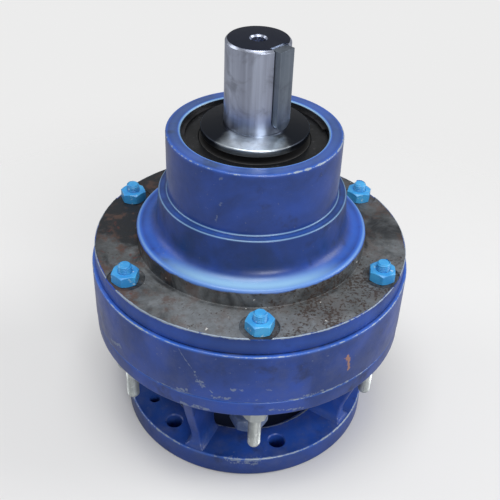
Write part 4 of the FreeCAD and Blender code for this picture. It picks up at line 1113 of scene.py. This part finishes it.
def stud_material():
    """Zinc below, and the nuts' blue paint on the upper ends."""
    g = start_material("stud_finish")
    height = g.axes(g.where)[2]
    blue, cloud = coat(g, *NUT_BLUE, 300.0)
    zinc = coat(g, *ZINC, 240.0)[0]
    painted_end = g.between(height, 155.0, 157.0)
    return finished(g, {
        "Base Color": g.blend(painted_end, zinc, blue), "Roughness": g.mix(cloud, 0.42, 0.30),
        "Metallic": g.mix(painted_end, 0.6, 0.0)}, g.noise(700.0, 3.0, 0.6), 0.15, 0.0003)


# Finish of each material slot. A finer piece may have a finish of its own.
SLOT_FINISHES = {
    "blue_paint": case_material(),
    "ground_steel": steel_material(
        "turned_steel", (0.70, 0.68, 0.66), (0.42, 0.41, 0.41), (60.0, 60.0, 900.0), 0.7, 0.22),
    "hardened_steel": steel_material(
        "hardened_steel", (0.56, 0.56, 0.58), (0.40, 0.40, 0.42), (90.0, 90.0, 400.0), 0.3, 0.14),
    "spring_steel": steel_material(
        "spring_steel", (0.10, 0.10, 0.105), (0.05, 0.05, 0.055), (90.0, 90.0, 90.0), 0.6, 0.3),
    "zinc_steel": coated_material("zinc_plate", *ZINC, 0.42, 0.35),
    "blue_nut_paint": coated_material("nut_paint", *NUT_BLUE, 0.32, 0.0),
    "drain_steel": coated_material(
        "drain_paint", (0.32, 0.40, 0.56), (0.13, 0.19, 0.36), (0.60, 0.63, 0.66), 0.45, 0.1),
    "cover_iron": coated_material(
        "oily_black_iron", (0.016, 0.017, 0.020), (0.007, 0.008, 0.009), (0.08, 0.08, 0.085), 0.30, 0.2),
    "seal_rubber": coated_material(
        "seal_rubber", (0.016, 0.016, 0.017), (0.010, 0.010, 0.010), (0.035, 0.035, 0.036), 0.55, 0.0),
    "gasket_paper": coated_material(
        "gasket_fibre", (0.05, 0.05, 0.055), (0.03, 0.03, 0.035), (0.10, 0.10, 0.10), 0.8, 0.0),
    "cage_brass": coated_material(
        "cage_brass", (0.56, 0.38, 0.13), (0.42, 0.28, 0.10), (0.70, 0.52, 0.24), 0.34, 1.0),
}
KEY_STEEL = steel_material("key_steel", (0.30, 0.35, 0.42), (0.20, 0.24, 0.30), (160.0, 160.0, 8.0), 0.4, 0.3)


def finish_piece(piece, body, slot_name, *nodes, material=None):
    """Gives a finer piece its finish, picked by its slot unless it has one of its own, its body, and hides
    the solids that it stands in for.
    """
    piece.data.materials.clear()
    piece.data.materials.append(material or SLOT_FINISHES[slot_name])
    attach(piece, body)
    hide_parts(*nodes)


finish_piece(housing_casting(), "housing", "blue_paint", "output_housing", material=housing_material())
finish_piece(case_casting(), "housing", "blue_paint", "ring_gear_case")
finish_piece(lantern_casting(), "housing", "blue_paint", "motor_lantern", material=lantern_material())
finish_piece(stud_set(), "housing", "zinc_steel", "through_studs", material=stud_material())
upper_set = nut_set("upper_nut_set", NUT_SEAT, UPPER_NUT_HEIGHT)
lower_set = nut_set("lower_nut_set", PLATE_BOTTOM - LOWER_NUT_HEIGHT, LOWER_NUT_HEIGHT)
finish_piece(upper_set, "housing", "blue_nut_paint", "upper_nuts")
finish_piece(lower_set, "housing", "zinc_steel", "lower_nuts")
finish_piece(shaft_forging(), "output", "ground_steel", "output_shaft", material=shaft_material())
finish_piece(shaft_key(), "output", "hardened_steel", "output_key", material=KEY_STEEL)
drain_tube, drain_head = drain_pieces()
finish_piece(drain_tube, "housing", "drain_steel", "drain_pipe")
finish_piece(drain_head, "housing", "drain_steel", "drain_cap")
finish_piece(input_shaft_forging(), "input", "ground_steel", "input_shaft")
finish_piece(flinger_ring(), "output", "ground_steel", "flinger_ring", material=flinger_material())
finish_piece(seal_cover(), "housing", "cover_iron", "seal_cover")

for subpart in frame["record"]["subparts"]:
    solid = frame["nodes"][subpart["node"]]
    solid.data.materials.clear()
    solid.data.materials.append(SLOT_FINISHES[subpart["material_slot"]])


# Setting: floor, lights and camera

FLOOR_GREY = (0.80, 0.80, 0.80)
FLOOR_BOUNCE = (0.36, 0.36, 0.37)
FLOOR_NEAR = 240.0
FLOOR_FAR = 600.0
BACKDROP_GREY = (0.84, 0.84, 0.84)
BACKDROP_LIGHT = 0.34
PICTURE_WIDTH = 500.0
FOCAL_PIXELS = 843.3
SENSOR_WIDTH = 36.0
CAMERA_PLACE = (0, -0.5337, 0.5413)
CAMERA_PITCH = 36.462
CAMERA_ROLL = 2.323


def floor_and_backdrop():
    """Pale floor with the object's shadow and a painted shadow under the bore, which gives way to the pale
    backdrop further out.
    """
    deselect_all()
    bpy.ops.mesh.primitive_plane_add(size=12.0, location=(0, 0, -0.0003))
    ground = named("studio_floor")
    g = start_material("studio_floor")
    seen = g.add("ShaderNodeLightPath").outputs["Is Camera Ray"]
    radius = radius_of(g)[0]
    # Painted shadow: a dark disc on the floor inside the register bore, seen through the lantern's windows.
    shadow_disc = g.between(radius, REGISTER_RADIUS - 2.0, REGISTER_RADIUS + 2.0)
    pale = g.blend(seen, FLOOR_BOUNCE, FLOOR_GREY)
    g.feed(g.shader.inputs["Base Color"], g.blend(shadow_disc, DARK_BLUE_GREY, pale))
    g.feed(g.shader.inputs["Roughness"], 0.95)
    g.feed(g.shader.inputs["Specular IOR Level"], 0.1)
    fading = g.times(g.between(radius, FLOOR_NEAR, FLOOR_FAR), seen)
    clear = g.add("ShaderNodeBsdfTransparent")
    both = g.add("ShaderNodeMixShader", {0: fading, 1: g.shader.outputs[0], 2: clear.outputs[0]})
    g.feed(g.tree.nodes["Material Output"].inputs["Surface"], both.outputs[0])
    ground.data.materials.append(g.material)


def area_light(name, place, aim, size, watts):
    """Lamp at a place in metres, turned to a height on the shaft axis."""
    data = bpy.data.lights.new(name, "AREA")
    data.shape = "RECTANGLE"
    data.size, data.size_y = size
    data.energy = watts
    lamp = bpy.data.objects.new(name, data)
    bpy.context.scene.collection.objects.link(lamp)
    lamp.location = place
    lamp.rotation_mode = "QUATERNION"
    lamp.rotation_quaternion = (Vector((0, 0, aim)) - Vector(place)).to_track_quat("-Z", "Y")


def world_light():
    world = bpy.data.worlds.new("studio")
    bpy.context.scene.world = world
    world.use_nodes = True
    g = Graph(world.node_tree)
    back = world.node_tree.nodes["Background"]
    seen = g.add("ShaderNodeLightPath").outputs["Is Camera Ray"]
    g.feed(back.inputs["Color"], BACKDROP_GREY)
    g.feed(back.inputs["Strength"], g.mix(seen, BACKDROP_LIGHT, 1.0))


def camera():
    """Camera of the photograph, from its focal length in pixels, its place, tilt and roll."""
    data = bpy.data.cameras.new("camera")
    data.sensor_width = SENSOR_WIDTH
    data.lens = FOCAL_PIXELS * SENSOR_WIDTH / PICTURE_WIDTH
    lens = bpy.data.objects.new("camera", data)
    bpy.context.scene.collection.objects.link(lens)
    pitch = math.radians(CAMERA_PITCH)
    roll = math.radians(CAMERA_ROLL)
    forward = Vector((0, math.cos(pitch), -math.sin(pitch)))
    right = Vector((1, 0, 0))
    up = right.cross(forward)
    side = right * math.cos(roll) + up * math.sin(roll)
    top = up * math.cos(roll) - right * math.sin(roll)
    turn = Matrix((side, top, -forward)).transposed().to_4x4()
    lens.matrix_world = Matrix.Translation(CAMERA_PLACE) @ turn
    bpy.context.scene.camera = lens


floor_and_backdrop()
area_light("top_light", place=(-0.1, -0.5, 3.6), aim=0.15, size=(2.0, 1.6), watts=66)
area_light("left_light", place=(-2.8, 0.5, 1.7), aim=0.15, size=(1.4, 1.8), watts=14)
area_light("right_light", place=(2.8, 0.3, 1.7), aim=0.15, size=(1.6, 1.8), watts=34)
area_light("front_light", place=(1.1, -3.0, 1.7), aim=0.12, size=(1.6, 1.2), watts=44)
world_light()
camera()
bpy.context.scene.view_settings.view_transform = "Standard"

deselect_all()
bpy.context.view_layer.update()
